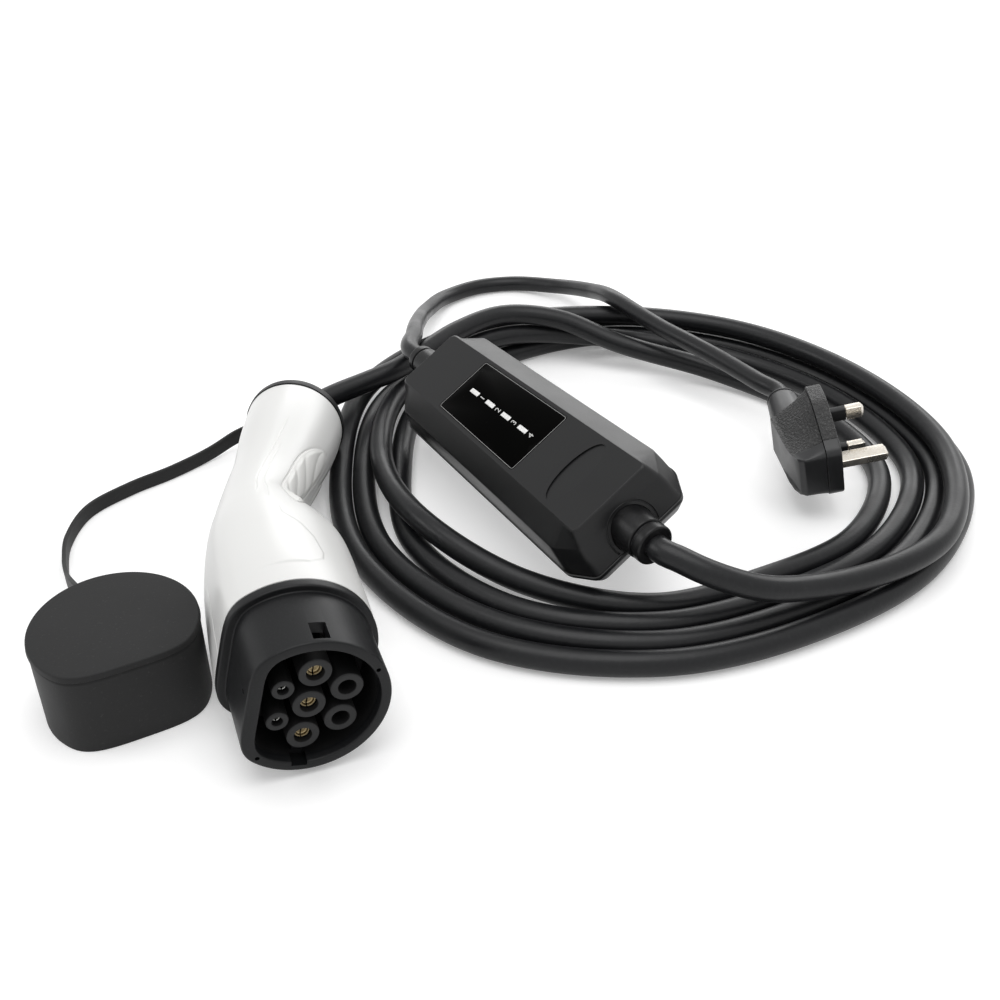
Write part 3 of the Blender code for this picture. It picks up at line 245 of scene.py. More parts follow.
finishTable = {
    "gripWhite": dict(colour=(0.70, 0.70, 0.688), rough=0.32, grain=(900.0, 0.000004, 2.0), patches=(6.0, 0.008)),
    "insertWhite": dict(colour=(0.68, 0.68, 0.662), rough=0.42, grain=(1400.0, 0.00003, 2.0), patches=(30.0, 0.05)),
    "noseBlack": dict(colour=(0.0052, 0.0055, 0.0061), rough=0.42, grain=(2600.0, 0.000018, 3.0), patches=(40.0, 0.04),
                      speckle=(1800.0, 0.52, 0.8, (0.0105, 0.0112, 0.0122)), specular=0.22),
    "sleeveBlack": dict(colour=(0.0100, 0.0102, 0.0106), rough=0.55, grain=(2200.0, 0.00003, 3.0), patches=(60.0, 0.05),
                        specular=0.3),
    # a darker black painted as shade on the nose's bore walls and on the contact carrier deep inside the bore
    "recessShadeBlack": dict(colour=(0.004, 0.004, 0.0042), rough=0.70, grain=(2000.0, 0.00002, 2.0), patches=(60.0, 0.05),
                        specular=0.25),
    "capRubber": dict(colour=(0.0122, 0.0122, 0.0125), rough=0.60, grain=(1500.0, 0.00003, 3.0), patches=(22.0, 0.05),
                      speckle=(900.0, 0.62, 0.88, (0.030, 0.030, 0.030)), specular=0.25),
    "cordRubber": dict(colour=(0.0072, 0.0075, 0.0084), rough=0.36, grain=(700.0, 0.00006, 3.0), patches=(45.0, 0.06),
                       speckle=(400.0, 0.5, 0.9, (0.0125, 0.0128, 0.014)), specular=0.28),
    "casingBlack": dict(colour=(0.0036, 0.0037, 0.0041), rough=0.36, grain=(3000.0, 0.000014, 2.0),
                        patches=(25.0, 0.04), speckle=(2500.0, 0.5, 0.85, (0.0075, 0.0077, 0.0083)), specular=0.33),
    "panelBlack": dict(colour=(0.0020, 0.0020, 0.0019), rough=0.13, grain=(160.0, 0.000004, 1.0), patches=(35.0, 0.03),
                       specular=0.008),
    "panelPrint": dict(colour=(0.55, 0.55, 0.54), rough=0.40, grain=(1500.0, 0.000006, 1.0), patches=(60.0, 0.05)),
    # a grey painted highlight along the edge of the panel's recess
    "highlightLineGrey": dict(colour=(0.24, 0.24, 0.235), rough=0.35, grain=(1500.0, 0.000004, 1.0), patches=(40.0, 0.08)),
    "bootRubber": dict(colour=(0.0045, 0.0045, 0.0049), rough=0.34, grain=(1300.0, 0.00003, 2.0), patches=(60.0, 0.05),
                       speckle=(700.0, 0.5, 0.85, (0.0105, 0.0107, 0.0115)), specular=0.25),
    "windowWhite": dict(colour=(0.84, 0.84, 0.83), rough=0.28, grain=(1500.0, 0.00001, 1.0), patches=(300.0, 0.05),
                        speckle=(700.0, 0.45, 0.75, (0.62, 0.62, 0.61))),
    "contactBrass": dict(colour=(0.36, 0.29, 0.17), rough=0.34, metal=1.0, grain=(1800.0, 0.00001, 2.0),
                         patches=(200.0, 0.08)),
    "contactSilver": dict(colour=(0.55, 0.55, 0.53), rough=0.26, metal=1.0, grain=(1800.0, 0.00001, 2.0),
                          patches=(200.0, 0.06)),
    "pinNickel": dict(colour=(0.72, 0.68, 0.615), rough=0.26, metal=1.0, grain=(1600.0, 0.00002, 3.0),
                      patches=(120.0, 0.08), speckle=(900.0, 0.5, 0.8, (0.66, 0.60, 0.52))),
    "plugRough": dict(colour=(0.0070, 0.0070, 0.0072), rough=0.44, grain=(900.0, 0.0009, 2.0), patches=(80.0, 0.05),
                      speckle=(950.0, 0.53, 0.72, (0.042, 0.042, 0.041)), specular=0.4),
    "plugSmooth": dict(colour=(0.015, 0.0154, 0.0165), rough=0.38, grain=(2200.0, 0.000016, 2.0), patches=(50.0, 0.05),
                       specular=0.4),
    "screwSteel": dict(colour=(0.55, 0.55, 0.56), rough=0.33, metal=1.0, grain=(2500.0, 0.00001, 2.0),
                       patches=(300.0, 0.08)),
    "boardGreen": dict(colour=(0.03, 0.16, 0.07), rough=0.42, grain=(900.0, 0.00002, 2.0), patches=(60.0, 0.06)),
    "partGrey": dict(colour=(0.20, 0.20, 0.21), rough=0.50, grain=(1500.0, 0.00002, 2.0), patches=(60.0, 0.06)),
    "partCream": dict(colour=(0.70, 0.67, 0.58), rough=0.42, grain=(1500.0, 0.00002, 2.0), patches=(60.0, 0.06)),
}
finishes = {name: finishOf(name, **row) for name, row in finishTable.items()}
print("finishes made:", len(finishes))


# Camera at the photograph's angle
photoView = {"height": 351.0, "pitch": 35.0, "focalPixels": 1218.0, "imagePixels": 1000.0}
cameraData = bpy.data.cameras.new("photoCamera")
cameraData.sensor_width = 36.0
cameraData.lens = 36.0 * photoView["focalPixels"] / photoView["imagePixels"]
cameraData.clip_start = 0.01
camera = bpy.data.objects.new("photoCamera", cameraData)
camera.location = (layoutShift + np.array([0.0, 0.0, photoView["height"]])) * mm
camera.rotation_euler = (math.radians(90.0 - photoView["pitch"]), 0.0, 0.0)
scene.collection.objects.link(camera)
scene.camera = camera

# Where each group lies: origin in the layout and axes
connector = {"at": (-69.8, 322.0, 34.05), "axes": turnedAxes(-69.9, -0.3, 76.0)}
capGroup = {"at": (-151.0, 361.6, 0.0), "axes": turnedAxes(-61.8, 0.0, 0.0)}
controlBox = {"at": (5.0, 485.3, 56.0), "axes": turnedAxes(-56.6, 0.0, 29.7)}
plugGroup = {"at": (162.2, 512.2, 32.0), "axes": turnedAxes(1.0, 13.0, 2.5)}
rowFrame = {"at": (0.0, 0.0, 0.0), "axes": np.eye(3)}

gripEndSpot = {"along": -206.0, "down": -39.5, "tilt": 23.4}
tilt = math.radians(gripEndSpot["tilt"])
gripEndX = -(connector["axes"][0] * math.cos(tilt) + connector["axes"][2] * math.sin(tilt))
gripEndY = connector["axes"][1]
gripEnd = {"at": np.array(connector["at"]) + connector["axes"][0] * gripEndSpot["along"]
           + connector["axes"][2] * gripEndSpot["down"],
           "axes": np.array([gripEndX, gripEndY, np.cross(gripEndX, gripEndY)])}


def layoutSpots(group, points):
    # a group's own points in the layout's millimetres
    return np.array([np.array(group["at"]) + np.array(point, float) @ group["axes"] for point in points])


# Cords
def routeCurve(points, t):
    # a cubic curve through the points, its slopes weighted by the spacing on either side
    p = np.asarray(points, float)
    gap = np.linalg.norm(np.diff(p, axis=0), axis=1)
    step = np.diff(p, axis=0) / gap[:, None]
    middle = (step[:-1] * gap[1:, None] + step[1:] * gap[:-1, None]) / (gap[:-1] + gap[1:])[:, None]
    slope = np.vstack([step[:1], middle, step[-1:]])
    i = np.clip(np.floor(t).astype(int), 0, len(p) - 2)
    u = (t - i)[:, None]
    h = gap[i][:, None]
    return (p[i] * (2 * u ** 3 - 3 * u ** 2 + 1) + slope[i] * (u ** 3 - 2 * u ** 2 + u) * h
            + p[i + 1] * (3 * u ** 2 - 2 * u ** 3) + slope[i + 1] * (u ** 3 - u ** 2) * h)


def evenly(spots, step):
    # the curve through the spots, read again at equal distances, and its length
    path = routeCurve(spots, np.linspace(0.0, len(spots) - 1.0, (len(spots) - 1) * 16 + 1))
    along = np.concatenate([[0.0], np.cumsum(np.linalg.norm(np.diff(path, axis=0), axis=1))])
    at = np.linspace(0.0, along[-1], max(int(along[-1] / step), 2) + 1)
    return np.stack([np.interp(at, along, path[:, k]) for k in range(3)], axis=1), along[-1]


def squareTo(path, over=(0.0, 0.0, 1.0)):
    # the sideways and upward directions square to a line
    ahead = unit(np.gradient(path, axis=0))
    side = unit(np.cross(ahead, np.array(over)))
    return side[:, None], np.cross(side, ahead)[:, None]


def tubeShape(path, radius, count, group, over=(0.0, 0.0, 1.0)):
    # rings square to a centreline: each point is the centre plus radius times a turned sideways direction
    side, up = squareTo(path, over)
    a = np.linspace(0.0, 2 * math.pi, count, endpoint=False)[None, :, None]
    return gridShape(group, path[:, None] + radius * (np.cos(a) * side + np.sin(a) * up))


def bandShape(path, section, group):
    # a flat section carried on edge along a line: its first number goes sideways, its second upwards
    side, up = squareTo(path)
    s = np.asarray(section, float)[None]
    return gridShape(group, path[:, None] + s[..., :1] * side + s[..., 1:] * up)


evCableSettings = {
    "radius": 5.75, "around": 26, "step": 2.8, "coilCentre": (68.0, 520.0),
    "boxSpots": ((96.8, 0.0, -18.0), (101.0, 0.0, -18.0)), "glandSpots": ((15.8, 0.0, 0.0), (11.6, 0.0, 0.0)),
    "lead": ((74.6, 402.4, 39.2), (83.5, 398.4, 36.8), (94.5, 396.6, 33.0), (109.5, 397.6, 27.6)),
    "firstAngle": -60.0, "angleStep": 30.0,
    "turnRadius": (131.5, 153.0, 157.0, 151.5, 151.0, 151.5, 155.0, 161.8, 149.4, 151.8, 152.6, 144.8, 140.4, 152.2,
                   166.4, 164.0, 162.5, 161.5, 152.0, 149.8, 137.6, 139.8, 138.6, 132.8, 128.1, 139.9, 154.2, 151.8,
                   150.4, 149.2, 138.0, 129.6, 118.8, 125.0, 126.4, 120.6, 115.8, 127.6, 142.0, 139.4, 138.0, 135.4,
                   138.6, 139.4, 128.2, 121.4, 111.6, 108.0, 103.0, 115.0, 125.0, 119.0, 114.0, 118.5),
    "turnHeight": (21.0, 18.4, 18.2, 18.0, 18.0, 18.0, 18.8, 11.5, 5.8, 5.8, 5.8, 5.8, 5.8, 5.8,
                   5.8, 5.8, 5.8, 5.8, 5.8, 5.8, 5.8, 5.8, 5.8, 5.8, 5.8, 5.8, 5.8, 5.8,
                   5.8, 5.8, 5.8, 5.8, 5.8, 5.8, 5.8, 5.8, 5.8, 5.8, 5.8, 5.8, 5.8, 11.0,
                   19.4, 14.4, 14.6, 18.6, 9.5, 5.8, 5.8, 5.8, 5.8, 5.8, 8.5, 17.0),
    "tail": ((33.0, 648.0, 27.5), (2.0, 645.5, 31.2), (-24.0, 627.0, 30.4), (-42.0, 606.0, 28.4),
             (-57.5, 587.5, 26.6), (-73.0, 576.0, 25.2), (-87.0, 565.0, 24.6), (-98.0, 554.0, 24.0)),
}
turnAngles = np.radians(evCableSettings["firstAngle"]
                        + evCableSettings["angleStep"] * np.arange(len(evCableSettings["turnRadius"])))
turnRadii = np.array(evCableSettings["turnRadius"])
turnSpots = np.column_stack([evCableSettings["coilCentre"][0] + turnRadii * np.cos(turnAngles),
                             evCableSettings["coilCentre"][1] + turnRadii * np.sin(turnAngles),
                             evCableSettings["turnHeight"]])
evSpots = np.vstack([layoutSpots(controlBox, evCableSettings["boxSpots"]), evCableSettings["lead"], turnSpots,
                     evCableSettings["tail"], layoutSpots(gripEnd, evCableSettings["glandSpots"])])
evLine, evLength = evenly(evSpots, evCableSettings["step"])
evCable = makePiece("evCable", tubeShape(evLine, evCableSettings["radius"], evCableSettings["around"], rowFrame),
                    "cordRubber")
settle(evCable, "soft_rubber", "ev_cable")

mainsCordSettings = {
    "radius": 4.8, "around": 24, "step": 2.6, "boxSpots": ((-96.3, 0.0, -14.0), (-104.0, 0.0, -14.0)),
    "plugSpots": ((-15.0, 43.0, 0.0), (-15.0, 37.3, 0.0)),
    "middle": ((-47.8, 607.8, 37.5), (-48.5, 650.6, 24.0), (-45.1, 692.7, 11.5), (-35.6, 721.8, 5.8),
               (-13.2, 740.3, 4.9), (7.7, 744.9, 4.9), (36.0, 734.4, 8.0), (56.7, 704.2, 19.0),
               (68.6, 667.6, 31.0), (79.7, 647.0, 32.0), (92.8, 627.8, 31.4), (106.7, 610.7, 31.0),
               (118.7, 596.1, 30.4), (129.2, 581.6, 30.0), (138.0, 567.8, 30.2)),
}
mainsSpots = np.vstack([layoutSpots(controlBox, mainsCordSettings["boxSpots"]), mainsCordSettings["middle"],
                        layoutSpots(plugGroup, mainsCordSettings["plugSpots"])])
mainsLine, mainsLength = evenly(mainsSpots, mainsCordSettings["step"])
mainsCord = makePiece("mainsCord", tubeShape(mainsLine, mainsCordSettings["radius"], mainsCordSettings["around"],
                                             rowFrame), "cordRubber")
settle(mainsCord, "soft_rubber", "mains_cord")

strapSettings = {
    "width": 7.4, "thick": 2.0, "step": 1.6,
    "route": ((-171.405, 388.605, 30.0), (-175.0, 393.0, 28.5), (-182.0, 404.0, 23.0), (-190.5, 420.0, 14.0),
              (-199.0, 440.0, 7.0), (-204.5, 462.0, 4.2), (-201.5, 486.0, 4.0), (-186.0, 505.5, 4.0),
              (-168.0, 521.0, 4.0), (-151.0, 538.0, 5.0), (-139.5, 547.5, 8.5), (-130.0, 548.4, 12.8),
              (-124.2, 543.4, 17.6), (-120.0, 538.8, 21.0), (-115.28, 536.98, 22.3)),
}
strapLine, strapLength = evenly(strapSettings["route"], strapSettings["step"])
halfThick, halfWide = strapSettings["thick"] / 2, strapSettings["width"] / 2
strapSection = roundedBox(halfThick, halfWide, 0.55)
tetherStrap = makePiece("tetherStrap", bandShape(strapLine, strapSection, rowFrame), "capRubber", 50.0)
settle(tetherStrap, "soft_rubber", "tether_strap")
print("cords made: millimetres", round(evLength), round(mainsLength), round(strapLength))


# Connector nose
def dOutline(radius, flat, count, soft):
    # a circle cut by one flat, the two blended where they meet
    a = 2 * math.pi * (np.arange(count) + 0.5) / count
    return radius * np.sin(a), softMin(radius * np.cos(a), flat, soft)


def dShape(group, profile, count, soft=6.0, closeAlong=False, standing=False):
    # a profile of distance along, radius and flat, carried round the D-shaped outline
    p = np.asarray(profile, float)
    across, up = dOutline(p[:, 1:2], p[:, 2:3], count, soft)
    along = np.repeat(p[:, :1], count, axis=1)
    grid = np.stack((up, across, along) if standing else (along, across, up), axis=-1)
    return gridShape(group, grid, closeAlong)


def faceSpots(piece, group):
    # the middle and the direction of each face in a group's own axes, millimetres
    mesh = piece.data
    middle = np.empty(len(mesh.polygons) * 3)
    mesh.polygons.foreach_get("center", middle)
    ahead = np.empty(len(mesh.polygons) * 3)
    mesh.polygons.foreach_get("normal", ahead)
    local = (middle.reshape(-1, 3) / mm - layoutShift - np.array(group["at"])) @ group["axes"].T
    return local, ahead.reshape(-1, 3) @ group["axes"].T


def paint(piece, chosen, finish):
    # a second finish for the chosen faces
    mesh = piece.data
    mesh.materials.append(finishes[finish])
    index = np.zeros(len(mesh.polygons), dtype=np.int32)
    mesh.polygons.foreach_get("material_index", index)
    index[chosen] = len(mesh.materials) - 1
    mesh.polygons.foreach_set("material_index", index)
    mesh.update()


noseSettings = {
    "around": 176, "soft": 6.0,
    "profile": ((-40.0, 30.4, 24.4), (-31.5, 30.4, 24.4), (-31.5, 34.0, 28.0), (-27.5, 34.0, 28.0),
                (-27.5, 31.2, 24.2), (2.0, 31.0, 24.0), (2.0, 26.9, 18.6), (-1.2, 26.3, 18.0), (-40.0, 26.3, 18.0)),
    "rounding": (0.3, 0.4, 0.5, 1.1, 0.9, 1.3, 0.9, 0.8, 0.3),
    "slot": (-9.2, -0.2, 3.2), "upperReach": (21.3, 36.0), "lowerReach": (-36.0, -29.3),
    "notch": ((-4.6, -28.3, -3.0), (2.6, -24.8, 3.0)), "lug": ((-9.5, -28.0, -1.9), (-5.0, -24.2, 1.9)),
    "pinholes": ((16.6, -23.05), (-23.1, 16.5)), "pinhole": ((-1.5, 0.9), (3.0, 0.9)),
    "mark": (-4.4, 4.5, 1.7, 0.8), "markDepth": (23.3, 26.0),
}
nose = makePiece("noseBarrel", dShape(connector, softened(noseSettings["profile"], noseSettings["rounding"], 5, True),
                                      noseSettings["around"], noseSettings["soft"], True), "noseBlack", 55.0)
slotLow, slotHigh, slotHalf = noseSettings["slot"]
noseTools = [blockShape(connector, (slotLow, low, -slotHalf), (slotHigh, high, slotHalf))
             for low, high in (noseSettings["upperReach"], noseSettings["lowerReach"])]
noseTools += [turnedShape(connector, noseSettings["pinhole"], 16, spot) for spot in noseSettings["pinholes"]]
markX, markY, markLong, markWide = noseSettings["mark"]
noseTools.append(plateShape(connector, [(markX - markLong, markY), (markX, markY - markWide),
                                        (markX + markLong, markY), (markX, markY + markWide)],
                            *noseSettings["markDepth"]))
noseTools.append(blockShape(connector, *noseSettings["notch"]))
carve(nose, together(noseTools), 40.0)
carve(nose, blockShape(connector, *noseSettings["lug"]), 40.0, "UNION")
noseMiddles, noseAhead = faceSpots(nose, connector)
outward = (noseMiddles[:, 1] * noseAhead[:, 1] + noseMiddles[:, 2] * noseAhead[:, 2]) / np.maximum(
    np.hypot(noseMiddles[:, 1], noseMiddles[:, 2]), 1.0)
# the bore's inward faces are painted the darker black as shade
paint(nose, (outward < -0.5) & (noseMiddles[:, 0] < -2.0), "recessShadeBlack")
settle(nose, "black_plastic", "nose_barrel")

carrierSettings = {"rows": ((-27.2, 26.0, 17.7), (-21.5, 26.0, 17.7)), "around": 120, "pitch": 15.0,
                   "blankRow": -13.2, "signalRow": 10.8, "power": (6.31, 3.41), "signal": (4.3, 2.1), "depth": -20.5,
                   "sleeveAround": 40, "paintedFrom": -0.9, "holes": (3.5, 2.15)}


def sleeveProfile(outer, hole, depth):
    # a cup: outer wall, chamfered rim, hole wall and floor
    return softened([(-22.4, 0.0), (-22.4, outer), (0.0, outer), (0.0, hole), (depth, hole), (depth, 0.0)],
                    (0.0, 0.2, 0.7, 0.4, 0.4, 0.0), 4)


pitch = carrierSettings["pitch"]
powerSpots = ((pitch, 0.0), (0.0, 0.0), (-pitch, 0.0))
blankSpots = ((pitch / 2, carrierSettings["blankRow"]), (-pitch / 2, carrierSettings["blankRow"]))
signalSpots = ((pitch / 2, carrierSettings["signalRow"]), (-pitch / 2, carrierSettings["signalRow"]))
carrierParts = [dShape(connector, softened(carrierSettings["rows"], 0.4, 3), carrierSettings["around"])]
for spots, (outer, hole) in ((powerSpots, carrierSettings["power"]), (blankSpots, carrierSettings["power"]),
                             (signalSpots, carrierSettings["signal"])):
    for spot in spots:
        carrierParts.append(turnedShape(connector, sleeveProfile(outer, hole, carrierSettings["depth"]),
                                        carrierSettings["sleeveAround"], spot, caps=False))
# the carrier is painted the darker black as shade inside the bore; only the sleeves' front faces get the lighter black
carrier = makePiece("contactCarrier", together(carrierParts), "recessShadeBlack", 50.0)
carrierMiddles, carrierAhead = faceSpots(carrier, connector)
allSpots = np.array(powerSpots + blankSpots + signalSpots)
fromAxes = np.linalg.norm(carrierMiddles[:, None, 1:] - allSpots[None], axis=2)
powerHole, signalHole = carrierSettings["holes"]
nearestHole = np.where(np.argmin(fromAxes, axis=1) < len(powerSpots + blankSpots), powerHole, signalHole)
paint(carrier, (carrierMiddles[:, 0] > carrierSettings["paintedFrom"]) & (carrierAhead[:, 0] > 0.2)
      & (np.min(fromAxes, axis=1) > nearestHole), "sleeveBlack")
settle(carrier, "black_plastic", "contact_carrier")

contactSettings = {"mouth": -2.4, "floor": -3.7, "shoulder": -20.2, "tail": -33.0, "wall": 0.75, "slit": 0.55,
                   "power": (3.11, 2.12, "contactBrass", "contact_brass"),
                   "signal": (1.8, 1.19, "contactSilver", "contact_silver")}
for name, node, spot, kind in (("contactLine", "contact_line", powerSpots[0], "power"),
                               ("contactEarth", "contact_earth", powerSpots[1], "power"),
                               ("contactNeutral", "contact_neutral", powerSpots[2], "power"),
                               ("contactPilot", "contact_pilot", signalSpots[0], "signal"),
                               ("contactProximity", "contact_proximity", signalSpots[1], "signal")):
    outer, tail, finish, slotName = contactSettings[kind]
    inner = outer - contactSettings["wall"]
    profile = softened([(contactSettings["tail"], 0.0), (contactSettings["tail"], tail),
                        (contactSettings["shoulder"], tail), (contactSettings["shoulder"], outer),
                        (contactSettings["mouth"], outer), (contactSettings["mouth"], inner),
                        (contactSettings["floor"], inner), (contactSettings["floor"], 0.0)],
                       (0.0, 0.3, 0.2, 0.3, 0.25, 0.25, 0.5, 0.0), 4)
    contact = makePiece(name, turnedShape(connector, profile, 36, spot, caps=False), finish, 50.0)
    slit = contactSettings["slit"] / 2
    carve(contact, blockShape(connector, (-11.0, spot[0] - outer - 1.0, spot[1] - slit),
                              (0.0, spot[0] + outer + 1.0, spot[1] + slit)), 45.0)
    settle(contact, slotName, node)
print("nose, carrier and contacts made")


# Handle
handleSettings = {  # sections: place along and up, tilt, reach up, flat, reach down, half width
    "sections": ((-31.8, 0.0, 0.0, 34.0, 28.0, 34.0, 34.0), (-44.0, -0.5, 0.0, 33.8, 27.9, 34.4, 33.6),
                 (-57.0, -1.0, 0.0, 33.5, 27.5, 34.5, 32.5), (-75.0, -2.0, 0.0, 32.0, 27.5, 34.5, 30.5),
                 (-90.0, -3.0, 2.0, 29.5, 26.8, 33.0, 28.6), (-102.0, -4.0, 7.0, 26.2, 25.6, 28.0, 26.3),
                 (-112.0, -4.6, 13.0, 22.4, 23.6, 20.8, 24.0), (-123.0, -5.2, 19.0, 18.8, 21.4, 17.0, 21.6),
                 (-139.5, -11.3, 23.0, 18.5, 23.0, 18.8, 20.6), (-156.0, -18.6, 23.6, 19.5, 24.0, 20.2, 21.2),
                 (-180.0, -28.9, 23.5, 22.8, 27.0, 23.0, 23.2), (-194.0, -34.8, 23.4, 24.0, 28.0, 24.0, 24.0),
                 (-206.0, -39.5, 23.4, 24.3, 28.5, 24.3, 24.3)),
    "wall": 2.4, "seam": 0.15, "soft": 6.0,
    "grooveLong": ((5.59, 1.30, 9.79, 1.545), 0.34, 0.30), "grooveShort": ((4.74, 1.466, 9.0, 1.623), 0.28, 0.30),
    "cheek": ((0.95, 1.702), (1.23, 1.885), (1.65, 1.929), (2.41, 1.885), (3.01, 1.763), (3.58, 1.588)),
    "cheekHeight": 0.34, "cheekFrom": 0.95, "cheekEnd": (3.3, 4.3),
    "dish": 0.22, "dishStart": (4.9, 5.7), "dishEnd": (8.7, 9.6),
    "dishSides": ((5.59, 1.30, 0.0583), (4.74, 1.466, 0.0369)),
    "line": (0.5, -0.1, 0.28),  # depth, place and width of the line round the insert
    "screws": ((2.2, 1.9), (4.4, 1.2), (10.2, 1.2)),
    "perRadian": 20.0, "perRow": 13.0,  # rough millimetres for one radian round and one section row along
}
insertSettings = {  # low and high: the leaf's edges as section row and angle
    "low": ((4.7, 1.88), (5.3, 1.83), (6.2, 1.94), (7.4, 2.08), (8.3, 2.09), (8.9, 2.13), (9.3, 2.28), (9.55, 2.50),
            (9.68, 2.74)),
    "high": ((4.7, 1.94), (5.3, 2.16), (6.2, 2.48), (7.4, 2.77), (8.3, 2.89), (8.9, 2.95), (9.3, 2.97), (9.55, 2.94),
             (9.68, 2.80)),
    "proud": 0.45, "deep": 0.8, "ribs": 6.5, "ribHeight": 0.6, "ribLean": 0.95, "ribPhase": 0.2, "ribPower": 0.55,
    "ribFade": (0.8, 3.0),
}


def handleSection(s):
    # spine place, tilt and the four reaches at s, on a Catmull-Rom curve through the section rows
    row = np.array(handleSettings["sections"])
    i = np.clip(np.floor(s).astype(int), 0, len(row) - 2)
    u = (s - i)[..., None]
    a, b, c, d = row[np.maximum(i - 1, 0)], row[i], row[i + 1], row[np.minimum(i + 2, len(row) - 1)]
    return 0.5 * (2 * b + (c - a) * u + (2 * a - 5 * b + 4 * c - d) * u ** 2 + (3 * b - a - 3 * c + d) * u ** 3)


def handlePoint(s, angle, inset, side):
    # an ellipse quarter above and one below, the upper one cut by the flat, less the inset, turned by the tilt
    cx, cz, tiltHere, up, flat, down, half = np.moveaxis(handleSection(s), -1, 0)
    t = np.radians(tiltHere)
    seam = handleSettings["seam"]
    y = seam + (half - inset - seam) * np.sin(angle)
    upper = softMin((up - inset) * np.cos(angle), flat - inset, handleSettings["soft"])
    v = np.where(np.cos(angle) > 0, upper, (down - inset) * np.cos(angle))
    return np.stack([cx - v * np.sin(t), y * side, cz + v * np.cos(t)], axis=-1)


def roundOff(distance, radius):
    # how far a quarter circle falls below its corner's faces
    d = np.clip(distance, 0.0, radius)
    return radius - np.sqrt(radius ** 2 - (radius - d) ** 2)


def lineGroove(s, angle, line, depth, width):
    # a V of that depth along a straight line of s and angle, fading out at its ends
    s0, a0, s1, a1 = line
    t = (s - s0) / (s1 - s0)
    away = (angle - (a0 + (a1 - a0) * t)) * handleSettings["perRadian"]
    return depth * np.exp(-(away / width) ** 2) * ramp(t, -0.02, 0.08) * (1.0 - ramp(t, 0.92, 1.02))


def insertSides(s):
    # the leaf's lower and upper angle at s, read from its two softened edge lines
    low, high = (softened(insertSettings[side], 0.4, 5) for side in ("low", "high"))
    return np.interp(s, low[:, 0], low[:, 1]), np.interp(s, high[:, 0], high[:, 1])


def insertEdge(s, angle):
    # distance inside the finger insert's leaf outline, millimetres, less than nothing outside
    low, high = insertSides(s)
    ends = np.minimum(s - insertSettings["low"][0][0], insertSettings["low"][-1][0] - s) * handleSettings["perRow"]
    return np.minimum(np.minimum(angle - low, high - angle) * handleSettings["perRadian"], ends)


def handleRelief(s, angle):
    # grooves, the shallow dish between them, the raised cheek and the line round the insert, as an inset
    long, short = handleSettings["grooveLong"], handleSettings["grooveShort"]
    inset = lineGroove(s, angle, *long) + lineGroove(s, angle, *short)
    lower, upper = (a0 + (s - s0) * slope for s0, a0, slope in handleSettings["dishSides"])
    fromLong, fromShort = (angle - lower) * handleSettings["perRadian"], (upper - angle) * handleSettings["perRadian"]
    inset += (handleSettings["dish"] * ramp(fromLong, 0.0, 1.2) * ramp(fromShort, 0.0, 1.2)
              * ramp(s, *handleSettings["dishStart"]) * (1.0 - ramp(s, *handleSettings["dishEnd"])))
    cheek = np.array(handleSettings["cheek"])
    edge = np.interp(s, cheek[:, 0], cheek[:, 1])
    raised = (ramp((edge - angle) * 33.0, -0.25, 0.35) * ramp((s - handleSettings["cheekFrom"]) * 12.5, -0.2, 0.4)
              * ramp(angle, 1.05, 1.5) * (1.0 - ramp(s, *handleSettings["cheekEnd"])))
    inset -= handleSettings["cheekHeight"] * raised
    depth, place, width = handleSettings["line"]
    inset += depth * np.exp(-((insertEdge(s, angle) - place) / width) ** 2)
    return inset


def handleHalf(side):
    # outer skin with its relief, inner skin and the strips that join them
    last = len(handleSettings["sections"]) - 1
    s = np.concatenate([[0.0, 0.006, 0.014, 0.024, 0.036, 0.05], np.linspace(0.07, last - 0.07, 286),
                        last - np.array([0.05, 0.036, 0.024, 0.014, 0.006, 0.0])])
    edge = np.array([0.0, 0.003, 0.007, 0.012, 0.018])
    angle = np.concatenate([edge, np.linspace(0.04, 1.1, 26), np.linspace(1.11, 3.04, 178),
                            np.linspace(3.06, math.pi - 0.03, 4), math.pi - edge[::-1]])
    along, around = np.meshgrid(s, angle, indexing="ij")
    half = handleSection(along)[..., 6]
    inset = (handleRelief(along, around) + roundOff(half * np.sin(around), 0.4) + roundOff(along * 12.2, 0.45)
             + roundOff((last - along) * 12.9, 0.45))
    outer = handlePoint(along, around, inset, side)
    along, around = np.meshgrid(s, np.linspace(math.pi, 0.0, 26), indexing="ij")
    inner = handlePoint(along, around, np.full(along.shape, handleSettings["wall"]), side)
    return gridShape(connector, np.concatenate([outer, inner], axis=1))


def insertShape(side):
    # a leaf-shaped plate that follows the handle, domed between slanting creases
    w = 0.5 - 0.497 * np.cos(np.linspace(0.0, math.pi, 150))
    v = np.sin(np.linspace(-math.pi / 2, math.pi / 2, 54))
    share, across = np.meshgrid(w, v, indexing="ij")
    first, last = insertSettings["low"][0][0], insertSettings["low"][-1][0]
    along = first + share * (last - first)
    low, high = insertSides(along)
    around = 0.5 * (low + high) + 0.5 * (high - low) * across
    inside = insertEdge(along, around)
    phase = insertSettings["ribs"] * share + insertSettings["ribLean"] * across + insertSettings["ribPhase"]
    wave = np.abs(np.sin(math.pi * phase)) ** insertSettings["ribPower"]
    ribs = insertSettings["ribHeight"] * wave * ramp(inside, *insertSettings["ribFade"])
    proud = insertSettings["proud"]
    height = proud * ramp(inside, 0.0, 0.8) - proud * (1.0 - ramp(inside, 0.0, 0.25)) + ribs
    outer = handlePoint(along, around, -height, side)
    inner = handlePoint(along, around, np.full(along.shape, insertSettings["deep"]), side)[:, ::-1]
    return gridShape(connector, np.concatenate([outer, inner[:, ::3]], axis=1))


screwSettings = {"radius": 2.8, "heights": (0.9, 0.1, -0.05), "cross": (1.7, 0.35), "cut": (-1.0, 0.5)}


